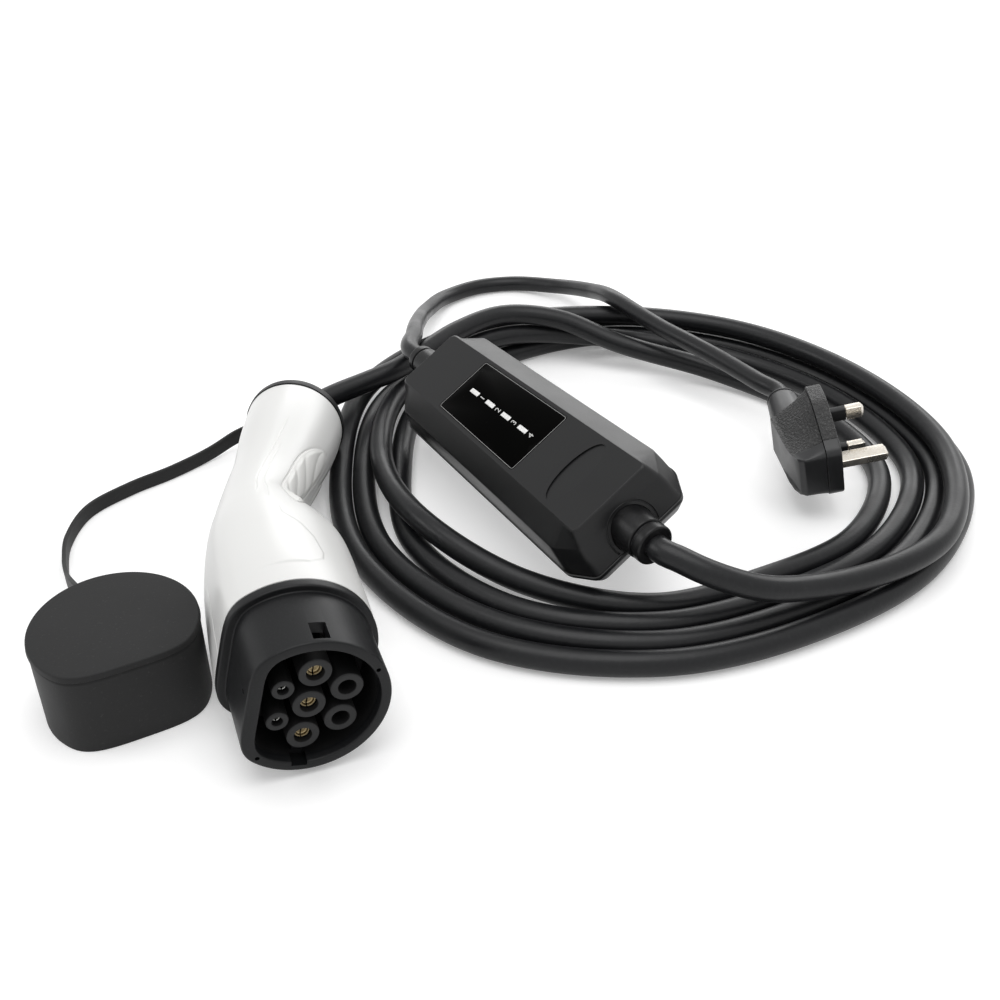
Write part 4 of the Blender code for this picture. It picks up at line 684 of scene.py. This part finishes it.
def crossHead(group, name, node, spot, axis, top):
    # a low domed head with a cross cut into it, its far end along the axis
    radius, heights = screwSettings["radius"], np.array(screwSettings["heights"]) + top
    profile = softened([(heights[0], 0.0), (heights[0], radius), (heights[1], radius), (heights[2], 0.0)],
                       (0.0, 0.1, 0.35, 0.0), 4)
    screw = makePiece(name, turnedShape(group, profile, 32, spot, axis, caps=False), "screwSteel", 50.0)
    ends = [top + level for level in screwSettings["cut"]]
    for wide, tall in (screwSettings["cross"], screwSettings["cross"][::-1]):
        low, high = [spot[0] - wide, spot[1] - tall], [spot[0] + wide, spot[1] + tall]
        low.insert(axis, ends[0])
        high.insert(axis, ends[1])
        carve(screw, blockShape(group, low, high), 45.0)
    settle(screw, "screw_steel", node)


screwSpots = [handlePoint(np.array([s]), np.array([a]), np.array([0.0]), -1)[0] for s, a in handleSettings["screws"]]
settle(makePiece("handleLeftShell", handleHalf(1), "gripWhite", 60.0), "white_shell", "handle_left_shell")
rightShell = makePiece("handleRightShell", handleHalf(-1), "gripWhite", 60.0)
carve(rightShell, together([turnedShape(connector, [(p[1] - 4.0, 3.1), (p[1] + 1.2, 3.1)], 32, (p[0], p[2]), 1)
                            for p in screwSpots]), 60.0)
settle(rightShell, "white_shell", "handle_right_shell")
for name, node, side in (("gripInsertLeft", "grip_insert_left", 1), ("gripInsertRight", "grip_insert_right", -1)):
    settle(makePiece(name, insertShape(side), "insertWhite", 70.0), "white_shell", node)
for number, p in enumerate(screwSpots, 1):
    crossHead(connector, f"handleScrew{number}", f"handle_screw_{number}", (p[0], p[2]), 1, p[1] + 0.1)

gripEndSettings = {"ring": ((-6.0, 18.9), (-6.0, 20.9), (0.3, 20.9), (0.3, 24.8), (5.0, 24.8), (5.0, 8.3), (2.8, 8.3),
                            (2.8, 18.9)),
                   "ringRounding": (0.3, 0.3, 0.2, 0.3, 1.0, 0.4, 0.2, 0.3),
                   "glandRounding": (0.0, 0.3, 0.4, 0.5, 1.0, 0.0),
                   "gland": ((-1.5, 0.0), (-1.5, 11.0), (2.5, 11.0), (2.5, 8.0), (11.3, 8.0), (11.3, 0.0)),
                   "loop": ((5.5, 8.3), (5.5, 11.0), (10.5, 11.0), (10.5, 8.3)), "loopRounding": 0.9}
for name, node, part, closed, count, finish, slotName in (
        ("handleEndRing", "handle_end_ring", "ring", True, 96, "noseBlack", "black_plastic"),
        ("handleGland", "handle_gland", "gland", False, 48, "cordRubber", "soft_rubber"),
        ("tetherLoop", "tether_loop", "loop", True, 48, "capRubber", "soft_rubber")):
    profile = softened(gripEndSettings[part], gripEndSettings[part + "Rounding"], 5, closed)
    shape = turnedShape(gripEnd, profile, count, closeAlong=closed, caps=False)
    settle(makePiece(name, shape, finish, 50.0), slotName, node)
print("handle made")

# Cap
capSettings = {"radius": 33.0, "flat": 26.0, "soft": 8.0, "around": 180, "height": 39.0, "wall": 1.7, "faceThick": 2.6,
               "outside": ((0.2, 14.0), (0.0, 4.5), (-0.1, 0.0), (-2.6, -0.35), (-3.0, 0.75), (-4.2, 0.15)),
               "rounding": (0.0, 1.2, 0.8, 0.2, 0.2, 0.4, 0.5, 0.5, 1.6, 0.0)}  # outside: over the height, inset
capWall, capTall = capSettings["wall"], capSettings["height"]
capInside = capTall - capSettings["faceThick"]
capProfile = softened([(capTall + over, inset) for over, inset in capSettings["outside"]]
                      + [(0.0, 0.0), (0.0, capWall), (capInside, capWall), (capInside, 9.0)],
                      capSettings["rounding"], 7)
capRows = np.column_stack([capProfile[:, 0], capSettings["radius"] - capProfile[:, 1],
                           capSettings["flat"] - capProfile[:, 1]])
capBody = makePiece("capBody", dShape(capGroup, capRows, capSettings["around"], capSettings["soft"], standing=True),
                    "capRubber", 55.0)
settle(capBody, "soft_rubber", "cap_body")
print("cap made")


# Control box
def boxRing(row, inset=0.0):
    # eight corners from the row's lengths and half widths, each rounded by a quadratic curve
    z, x0, x1, a0, a1, b0, b1, e0, e1, r = row
    x0, x1, a0, a1, b0, b1 = x0 - inset, x1 - inset, a0 - inset * 0.6, a1 - inset * 0.6, b0 - inset, b1 - inset
    corners = [(x1, -a1), (x1, a1), (x1 - e1, b1), (-x0 + e0, b0), (-x0, a0), (-x0, -a0), (-x0 + e0, -b0),
               (x1 - e1, -b1)]
    return levelRing(softened(corners, r, 7, True), z)


def lowered(row, drop):
    # the same row further down
    return (row[0] - drop,) + tuple(row[1:])


boxSettings = {  # rows: height, reach each way, half widths at both ends and both shoulders, shoulder places, corner
    "up": ((0.0, 74.9, 74.9, 17.0, 20.9, 17.3, 20.6, 9.8, 11.5, 3.0),
           (-0.7, 75.7, 75.7, 17.9, 21.8, 18.1, 21.5, 9.8, 11.5, 3.5),
           (-8.6, 77.4, 77.9, 19.3, 23.3, 27.8, 31.2, 10.5, 12.2, 2.0),
           (-15.0, 80.3, 80.8, 20.5, 24.5, 28.7, 32.1, 11.0, 12.8, 2.5)),
    "part": (-22.85, 83.0, 83.5, 21.5, 25.5, 29.5, 32.9, 11.5, 13.3, 3.0),
    "ledge": 0.55, "wall": 2.4, "rim": -23.15,
    "down": ((-25.0, 82.8, 83.3, 21.3, 25.3, 29.3, 32.7, 11.5, 13.3, 3.0),
             (-31.5, 80.5, 81.0, 19.5, 23.5, 27.0, 30.4, 11.5, 13.3, 3.0),
             (-34.8, 77.5, 78.0, 17.5, 21.5, 24.5, 27.9, 11.5, 13.3, 3.0),
             (-36.0, 75.5, 76.0, 16.0, 20.0, 22.8, 26.2, 11.5, 13.3, 3.0)),
    "face": (0.0, 74.1, 74.1, 16.2, 20.1, 16.5, 19.8, 9.8, 11.5, 2.8),
    "oval": (51.0, 6.6, 17.4), "boards": (54.0, 15.0), "screws": (60.0, 14.0),
    "evBore": (-18.0, 10.6), "mainsBore": (-14.0, 8.3), "archRadius": 12.4, "archDepth": 0.42,
    "ovalDepth": (-0.52, 0.26), "post": ((-35.0, 3.0), (-24.3, 3.0)), "seat": ((-38.0, 3.1), (-34.8, 3.1)),
    "screwTop": -35.9,
}
up, wall = boxSettings["up"], boxSettings["wall"]
outerRows = softened([boxSettings["face"], *up, boxSettings["part"]], (0.0, 0.35, 0.45, 0.9, 2.0, 0.0), 4)
coverRings = [boxRing(row) for row in outerRows] + [boxRing(boxSettings["part"], wall)]
coverRings += [boxRing(lowered(row, 0.8), wall) for row in (up[3], up[2])]
coverRings += [boxRing((-wall,) + tuple(up[1][1:]), wall)]
cover = makePiece("boxTopCover", gridShape(controlBox, coverRings), "casingBlack", 44.0)
panelSettings = {"x0": -42.1, "x1": 23.4, "half": 16.6, "taper": 0.0264, "corner": 1.6, "tool": (3.45, 1.35),
                 "windows": (-31.6, -18.2, -4.7, 9.0), "windowY": 0.4, "windowLong": 6.5, "windowWide": 2.3,
                 "digitBeyond": 6.9, "digitSize": 4.8, "highlightLine": (0.16, 0.42), "windowRows": (-22.1, -0.05, 0.06),
                 "windowTop": (0.96, 0.90), "rows": ((-0.55, 0.0), (-0.12, 0.0), (0.0, 0.12))}


def panelOutline(grow):
    # a rectangle that widens along its length, its corners rounded
    p = panelSettings
    x0, x1, mid = p["x0"] - grow, p["x1"] + grow, 0.5 * (p["x0"] + p["x1"])
    h0 = p["half"] + grow + p["taper"] * (x0 - mid)
    h1 = p["half"] + grow + p["taper"] * (x1 - mid)
    return softened([(x0, -h0), (x1, -h1), (x1, h1), (x0, h0)], p["corner"] + grow, 6, True)


toolX, toolY = panelSettings["tool"]
windowTools = [blockShape(controlBox, (x - toolX, panelSettings["windowY"] - toolY, -6.0),
                          (x + toolX, panelSettings["windowY"] + toolY, 2.0)) for x in panelSettings["windows"]]
ovalX, ovalHalfX, ovalHalfY = boxSettings["oval"]
ovalAngles = np.linspace(0.0, 2 * math.pi, 72, endpoint=False)
ovalRing = np.column_stack([ovalX + ovalHalfX * np.cos(ovalAngles), ovalHalfY * np.sin(ovalAngles)])
ovalMiddle, ovalLean = boxSettings["ovalDepth"]
ovalFloor = np.column_stack([ovalRing, ovalMiddle + ovalLean * np.cos(ovalAngles)])  # deeper towards the panel
boreTools = [turnedShape(controlBox, [(x0, radius), (x1, radius)], 48, (0.0, z)) for x0, x1, (z, radius) in
             ((68.0, 95.0, boxSettings["evBore"]), (-95.0, -68.0, boxSettings["mainsBore"]))]
archAngles = np.radians(np.linspace(-20.0, 200.0, 60))
archY = boxSettings["archRadius"] * np.cos(archAngles)
archZ = boxSettings["evBore"][0] + boxSettings["archRadius"] * np.sin(archAngles)
endRows = np.array([boxSettings["part"], up[3], up[2], up[1]])
archLine = np.column_stack([np.interp(archZ, endRows[:, 0], endRows[:, 2]), archY, archZ])
for tool in (plateShape(controlBox, panelOutline(0.3), -0.85, 2.0), together(windowTools),
             gridShape(controlBox, [ovalFloor, levelRing(ovalRing, 2.0)]), together(boreTools),
             tubeShape(archLine, boxSettings["archDepth"], 10, controlBox, (1.0, 0.0, 0.0))):
    carve(cover, tool, 44.0)
settle(cover, "casing_plastic", "box_top_cover")

down = np.array(boxSettings["down"])
widen = np.array([0.0] + [boxSettings["ledge"]] * 6 + [0.0] * 3)  # the ledge all round, heights as they are
lowerTop = np.array((boxSettings["rim"],) + boxSettings["part"][1:])
outerRows = softened(np.vstack([lowerTop + widen, lowered(down[0], 0.4) + widen, down[1:]]),
                     (0.0, 0.5, 1.6, 1.2, 0.0), 4)
shellRings = [boxRing((down[3][0] + wall,) + tuple(down[2][1:]), wall)]
shellRings += [boxRing(row, inset) for row, inset in ((down[1], wall), (down[0], wall), (lowerTop, wall),
                                                      (lowerTop, 0.2), (outerRows[0], 0.15))]
shellRings += [boxRing(row) for row in [lowered(outerRows[0], 0.12), *outerRows[1:]]]
lowerShell = makePiece("boxBottomShell", gridShape(controlBox, shellRings), "casingBlack", 44.0)
postX, postY = boxSettings["boards"]
screwX, screwY = boxSettings["screws"]
corners = [(sx, sy) for sx in (-1, 1) for sy in (-1, 1)]
posts = [turnedShape(controlBox, boxSettings["post"], 28, (sx * postX, sy * postY), 2) for sx, sy in corners]
seats = [turnedShape(controlBox, boxSettings["seat"], 32, (sx * screwX, sy * screwY), 2) for sx, sy in corners]
carve(lowerShell, together(posts), 44.0, "UNION")
carve(lowerShell, together(boreTools), 44.0)
carve(lowerShell, together(seats), 44.0)
settle(lowerShell, "casing_plastic", "box_bottom_shell")
for number, (sx, sy) in enumerate(corners, 1):
    crossHead(controlBox, f"boxScrew{number}", f"box_screw_{number}", (sx * screwX, sy * screwY), 2,
              boxSettings["screwTop"])

panelRings = [levelRing(panelOutline(-inset), z) for z, inset in panelSettings["rows"]]
panel = makePiece("labelPanel", gridShape(controlBox, panelRings), "panelBlack", 50.0)
carve(panel, together(windowTools), 50.0)
settle(panel, "panel_gloss", "label_panel")


def digitShape(text, x, y, size):
    # a printed figure, laid so that its foot points along the box
    curve = bpy.data.curves.new("figure", "FONT")
    curve.body = text
    curve.size = size
    curve.extrude = 0.015
    curve.align_x = "CENTER"
    curve.align_y = "CENTER"
    letter = bpy.data.objects.new("figure", curve)
    scene.collection.objects.link(letter)
    bpy.context.view_layer.update()
    mesh = bpy.data.meshes.new_from_object(letter.evaluated_get(bpy.context.evaluated_depsgraph_get()))
    spots = np.empty(len(mesh.vertices) * 3)
    mesh.vertices.foreach_get("co", spots)
    spots = spots.reshape(-1, 3)
    faces = [list(face.vertices) for face in mesh.polygons]
    bpy.data.objects.remove(letter, do_unlink=True)
    local = np.column_stack([x - spots[:, 1], y + spots[:, 0], 0.03 + spots[:, 2]])
    return inPlace(local, controlBox), faces


# a thin grey frame round the panel, painted as the highlight on the edge of its recess
outer, inner = (panelOutline(-inset) for inset in panelSettings["highlightLine"])
rings = [levelRing(ring, z) for ring, z in ((outer, -0.05), (outer, 0.02), (inner, 0.02), (inner, -0.05))]
settle(makePiece("panelHighlightLine", gridShape(controlBox, rings, True), "highlightLineGrey", 30.0), "panel_gloss")
long, wide, windowY = panelSettings["windowLong"] / 2, panelSettings["windowWide"] / 2, panelSettings["windowY"]
for number, x in enumerate(panelSettings["windows"], 1):
    figure = digitShape(str(number), x + panelSettings["digitBeyond"], windowY, panelSettings["digitSize"])
    settle(makePiece(f"figure{number}", figure, "panelPrint", 30.0), "window_plastic")
    outline = softened([(x - long, windowY - wide), (x + long, windowY - wide), (x + long, windowY + wide),
                        (x - long, windowY + wide)], 0.25, 4, True)
    small = (outline - [x, windowY]) * panelSettings["windowTop"] + [x, windowY]
    rings = [levelRing(ring, z) for ring, z in zip((outline, outline, small), panelSettings["windowRows"])]
    window = makePiece(f"ledWindow{number}", gridShape(controlBox, rings), "windowWhite", 40.0)
    settle(window, "window_plastic", f"led_window_{number}")

bootSettings = {
    "ev": ((70.5, 0.0), (70.5, 12.2), (73.4, 12.2), (73.4, 10.3), (84.0, 10.3), (90.4, 9.7), (90.7, 8.5), (91.9, 8.5),
           (92.1, 9.5), (96.5, 9.4), (96.5, 0.0)),
    "evRounding": (0.0, 0.3, 0.2, 0.2, 3.0, 0.5, 0.25, 0.25, 0.5, 1.0, 0.0),
    "mains": ((-70.5, 0.0), (-70.5, 9.4), (-73.4, 9.4), (-73.4, 8.0), (-90.4, 7.7), (-90.7, 6.6), (-91.8, 6.6),
              (-92.0, 7.4), (-96.0, 7.2), (-96.0, 0.0)),
    "mainsRounding": (0.0, 0.3, 0.2, 0.2, 0.5, 0.25, 0.25, 0.4, 0.9, 0.0),
}
for name, node, end, count in (("evSideBoot", "ev_side_boot", "ev", 56),
                               ("mainsSideBoot", "mains_side_boot", "mains", 48)):
    profile = softened(bootSettings[end], bootSettings[end + "Rounding"], 5)
    boot = turnedShape(controlBox, profile, count, (0.0, boxSettings[end + "Bore"][0]), caps=False)
    settle(makePiece(name, boot, "bootRubber", 50.0), "soft_rubber", node)
print("control box made")

# Plug
plugSettings = {"base": 7.3, "cordEnd": 11.0, "earthEnd": -31.5, "half": 24.5, "earthHalf": 12.5, "slopeStart": -4.0,
                "neckX": -15.0, "pinSpread": 11.1, "earthRow": -22.2, "roughFrom": -24.5,
                "groove": (-24.9, -24.6, -24.3), "grooveDepth": 0.3,
                "back": ((-31.5, -24.6, -18.0, 11.0), (-19.5, -22.6, -23.8, -26.0)),  # places along and the back there
                "neck": ((-7.5, 0.0), (-7.5, 4.5), (-5.2, 8.0), (-1.5, 9.5), (14.0, 9.5), (34.6, 7.9), (34.9, 7.2),
                         (35.8, 7.2), (36.0, 7.8), (37.0, 7.7), (37.0, 0.0)),
                "neckRounding": (0.0, 2.0, 2.0, 1.6, 4.0, 0.3, 0.2, 0.2, 0.3, 0.7, 0.0), "neckFace": (7.0, 9.75),
                "waist": (-16.0, 1.0),
                "wells": ((-2.3, 7.625, 2.3, 14.575), (-2.3, -14.575, 2.3, -7.625), (-26.5, -2.3, -17.9, 2.3),
                          (-14.6, -14.3, -6.4, 14.3))}  # live, neutral, earth and the fuse's holder


def plugOutline(inset):
    # the plate in its own plane: narrow at the earth end, widening to the cord end
    p = plugSettings
    half, end, tip = p["half"] - inset, p["cordEnd"] - inset, p["earthEnd"] + inset
    tipHalf = p["earthHalf"] - inset * 0.8
    waist, swell = p["waist"]
    middle = 0.5 * (half + tipHalf) + swell
    groove = [(y, tipHalf + (middle - tipHalf) * (y - tip) / (waist - tip) - sink)
              for y, sink in zip(p["groove"], (0.0, p["grooveDepth"], 0.0))]
    side = [(tip, tipHalf), *groove, (waist, middle), (p["slopeStart"], half), (end, half)]
    mirror = [(y, -z) for y, z in side[::-1]]
    rounding = (3.2, 0.05, 0.05, 0.05, 5.0, 3.0, 3.4)
    return softened(side + mirror, rounding + rounding[::-1], 5, True)


def plugBodyRing(depth):
    # the wedge narrows to the neck's width and slopes at the back
    p = plugSettings
    inset = 0.2 + 1.8 * max(depth - 0.85, 0.0) / 0.15
    narrow = min(1.0, depth * 1.15) ** 0.75
    ring = plugOutline(inset)
    y, z = ring[:, 0], ring[:, 1]
    back = np.interp(y, *p["back"])
    x = -p["base"] + 0.3 + (back + p["base"] - 0.3) * depth
    slim = 9.6 + 1.2 * (p["cordEnd"] - y) / 42.5
    width = np.abs(z) + (np.minimum(np.abs(z), slim) - np.abs(z)) * narrow
    return np.column_stack([x, y, np.sign(z) * width])


base = plugSettings["base"]
plateRows = softened([(-base, 4.0), (-base, 0.0), (0.0, 0.0), (0.0, 4.0)], (0.0, 0.18, 0.9, 0.0), 5)
plugBase = makePiece("plugBase", gridShape(plugGroup, [uprightRing(x, plugOutline(inset)) for x, inset in plateRows]),
                     "plugSmooth", 50.0)
carve(plugBase, together([blockShape(plugGroup, (-9.0, y0, z0), (2.0, y1, z1))
                          for y0, z0, y1, z1 in plugSettings["wells"]]), 50.0)
plateMiddles, plateAhead = faceSpots(plugBase, plugGroup)
paint(plugBase, (np.abs(plateAhead[:, 2]) > 0.5) & (plateMiddles[:, 1] > plugSettings["roughFrom"]), "plugRough")
settle(plugBase, "casing_plastic", "plug_base")

depths = np.concatenate([np.linspace(0.0, 0.85, 30), [0.88, 0.91, 0.94, 0.97, 1.0]])
bodyRings = [plugBodyRing(depth) for depth in depths]
plugBody = makePiece("plugBody", gridShape(plugGroup, bodyRings), "plugSmooth", 50.0)
neckProfile = softened(plugSettings["neck"], plugSettings["neckRounding"], 5)
neckShape = turnedShape(plugGroup, neckProfile, 72, (plugSettings["neckX"], 0.0), 1, caps=False)
carve(plugBody, neckShape, 50.0, "UNION")
carve(plugBody, blockShape(plugGroup, (-7.6, -40.0, -30.0), (6.0, 11.3, 30.0)), 50.0)
bodyMiddles, bodyAhead = faceSpots(plugBody, plugGroup)
fromNeck = np.hypot(bodyMiddles[:, 0] - plugSettings["neckX"], bodyMiddles[:, 2])
neckFrom, neckTo = plugSettings["neckFace"]
onNeck = (fromNeck < neckTo) & (fromNeck > neckFrom) & (bodyMiddles[:, 1] > -7.6)
onFace = (np.abs(bodyAhead[:, 2]) > 0.42) & (bodyMiddles[:, 1] > plugSettings["roughFrom"])
paint(plugBody, onFace & ~onNeck, "plugRough")
settle(plugBody, "casing_plastic", "plug_body")


def barShape(x0, x1, y, z, halfY, halfZ, corner, tip):
    # a bar of rounded rectangular section whose far end is chamfered
    ring = roundedBox(halfY, halfZ, corner)
    return gridShape(plugGroup, [uprightRing(x, ring * [(halfY - cut) / halfY, (halfZ - cut) / halfZ] + [y, z])
                             for x, cut in ((x0, 0.0), (x1 - tip, 0.0), (x1, tip))])


def sleeveShape(x0, x1, z, halfY, halfZ, wall):
    # a thin tube of rounded rectangular section round a pin's root
    outer, inner = roundedBox(halfY, halfZ, 0.5), roundedBox(halfY - wall, halfZ - wall, 0.3)
    rings = ((x0, outer), (x1 - 0.15, outer), (x1, outer * 0.97), (x1, inner), (x0, inner))
    return gridShape(plugGroup, [uprightRing(x, ring + [0.0, z]) for x, ring in rings], True)


spread = plugSettings["pinSpread"]
pinSettings = {"tail": (1.2, 2.375, 0.2, 0.1), "blade": (2.0, 3.175, 0.35, 1.2), "earth": (4.0, 2.0, 0.35, 1.2),
               "holder": (3.8, 14.0, 0.8, 0.25)}  # half sizes, corner and chamfer
for end, z in (("Live", spread), ("Neutral", -spread)):
    pinShape = together([barShape(-6.3, 9.3, 0.0, z, *pinSettings["tail"]),
                         barShape(9.3, 17.7, 0.0, z, *pinSettings["blade"])])
    settle(makePiece("pin" + end, pinShape, "pinNickel", 25.0), "pin_nickel", "pin_" + end.lower())
    sleeve = makePiece("sleeve" + end, sleeveShape(-4.0, 9.0, z, *pinSettings["blade"][:2], 0.6), "noseBlack", 30.0)
    settle(sleeve, "black_plastic", "sleeve_" + end.lower())
earthShape = barShape(-6.3, 22.7, plugSettings["earthRow"], 0.0, *pinSettings["earth"])
earthPin = makePiece("pinEarth", earthShape, "pinNickel", 25.0)
settle(earthPin, "pin_nickel", "pin_earth")
holder = makePiece("fuseHolder", barShape(-1.8, -0.05, -10.5, 0.0, *pinSettings["holder"]), "plugSmooth", 30.0)
carve(holder, blockShape(plugGroup, (-0.7, -10.9, -3.0), (1.0, -10.1, 3.0)), 30.0)
settle(holder, "casing_plastic", "fuse_holder")
print("plug made")

# Inner parts keep their own shapes
innerFinishes = {"circuit_board": "boardGreen", "relay_line": "partGrey", "relay_neutral": "partGrey",
                 "supply_module": "partGrey", "carrier_retainer": "partGrey", "current_sensor": "partCream",
                 "terminal_block": "partCream", "fuse": "partCream"}
for node, finish in innerFinishes.items():
    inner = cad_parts[node]
    if not inner.material_slots:
        inner.data.materials.append(finishes[finish])
    for place in inner.material_slots:
        place.material = finishes[finish]

# Floor, light and the sky round them
studioSettings = {"floorHalf": 4.0, "floorColour": 0.90, "floorGlow": 0.22, "skyLight": 0.55, "skySeen": 1.0,
                  "lamps": {  # place, aim, size and power
                      "topLamp": ((0.05, -0.15, 1.35), (0.0, 0.0, 0.0), (1.1, 1.1), 9.7),
                      "backLamp": ((0.95, 1.0, 0.75), (0.0, 0.0, 0.0), (0.7, 0.5), 3.6),
                      "rimLamp": ((0.24, 1.43, 0.55), (0.03, 0.0, 0.0), (1.2, 0.5), 5.4),
                      "sideLamp": ((-1.2, -0.1, 0.8), (-0.1, 0.0, 0.0), (0.6, 0.5), 2.8)}}
floorMesh = bpy.data.meshes.new("floor")
reach = studioSettings["floorHalf"]
floorMesh.from_pydata([(-reach, -reach, 0.0), (reach, -reach, 0.0), (reach, reach, 0.0), (-reach, reach, 0.0)], [],
                      [(0, 1, 2, 3)])
floor = bpy.data.objects.new("floor", floorMesh)
scene.collection.objects.link(floor)


def seenOnly(tree):
    # 1 for rays from the camera, from gloss and through glass, 0 for the light that falls on things
    path = tree.nodes.new("ShaderNodeLightPath")
    seen = path.outputs["Is Camera Ray"]
    for kind in ("Is Glossy Ray", "Is Transmission Ray"):
        either = tree.nodes.new("ShaderNodeMath")
        either.operation = "MAXIMUM"
        tree.links.new(seen, either.inputs[0])
        tree.links.new(path.outputs[kind], either.inputs[1])
        seen = either.outputs[0]
    return seen


floorFinish = bpy.data.materials.new("floorFinish")
floorFinish.use_nodes = True
tree, link = floorFinish.node_tree, floorFinish.node_tree.links.new
tree.nodes.clear()
matt = addNode(tree, "ShaderNodeBsdfDiffuse", {"Color": (*[studioSettings["floorColour"]] * 3, 1.0)})
glow = addNode(tree, "ShaderNodeEmission")
scaled = addNode(tree, "ShaderNodeMath", {1: studioSettings["floorGlow"]})
scaled.operation = "MULTIPLY"
both = addNode(tree, "ShaderNodeAddShader")
surface = addNode(tree, "ShaderNodeOutputMaterial")
for start, end in ((seenOnly(tree), scaled.inputs[0]), (scaled.outputs[0], glow.inputs["Strength"]),
                   (matt.outputs[0], both.inputs[0]), (glow.outputs[0], both.inputs[1]),
                   (both.outputs[0], surface.inputs["Surface"])):
    link(start, end)
floorMesh.materials.append(floorFinish)

world = bpy.data.worlds.new("studioSky")
scene.world = world
world.use_nodes = True
tree = world.node_tree
sky = tree.nodes["Background"].inputs
sky["Color"].default_value = (1.0, 1.0, 1.0, 1.0)
level = addNode(tree, "ShaderNodeMapRange", {"To Min": studioSettings["skyLight"], "To Max": studioSettings["skySeen"]})
tree.links.new(seenOnly(tree), level.inputs["Value"])
tree.links.new(level.outputs["Result"], sky["Strength"])


def softLamp(name, at, aim, size, power):
    # a rectangular lamp at a point, turned to face another
    data = bpy.data.lights.new(name, "AREA")
    data.shape = "RECTANGLE"
    data.size, data.size_y = size
    data.energy = power
    lamp = bpy.data.objects.new(name, data)
    ahead = unit(np.array(aim, float) - np.array(at, float))
    right = unit(np.cross(ahead, [0.0, 0.001, 1.0]))
    above = np.cross(right, ahead)
    lamp.matrix_world = Matrix([[right[k], above[k], -ahead[k], at[k]] for k in range(3)] + [[0.0, 0.0, 0.0, 1.0]])
    scene.collection.objects.link(lamp)


for name, row in studioSettings["lamps"].items():
    softLamp(name, *row)
scene.view_settings.view_transform = "Standard"
print("stage set")
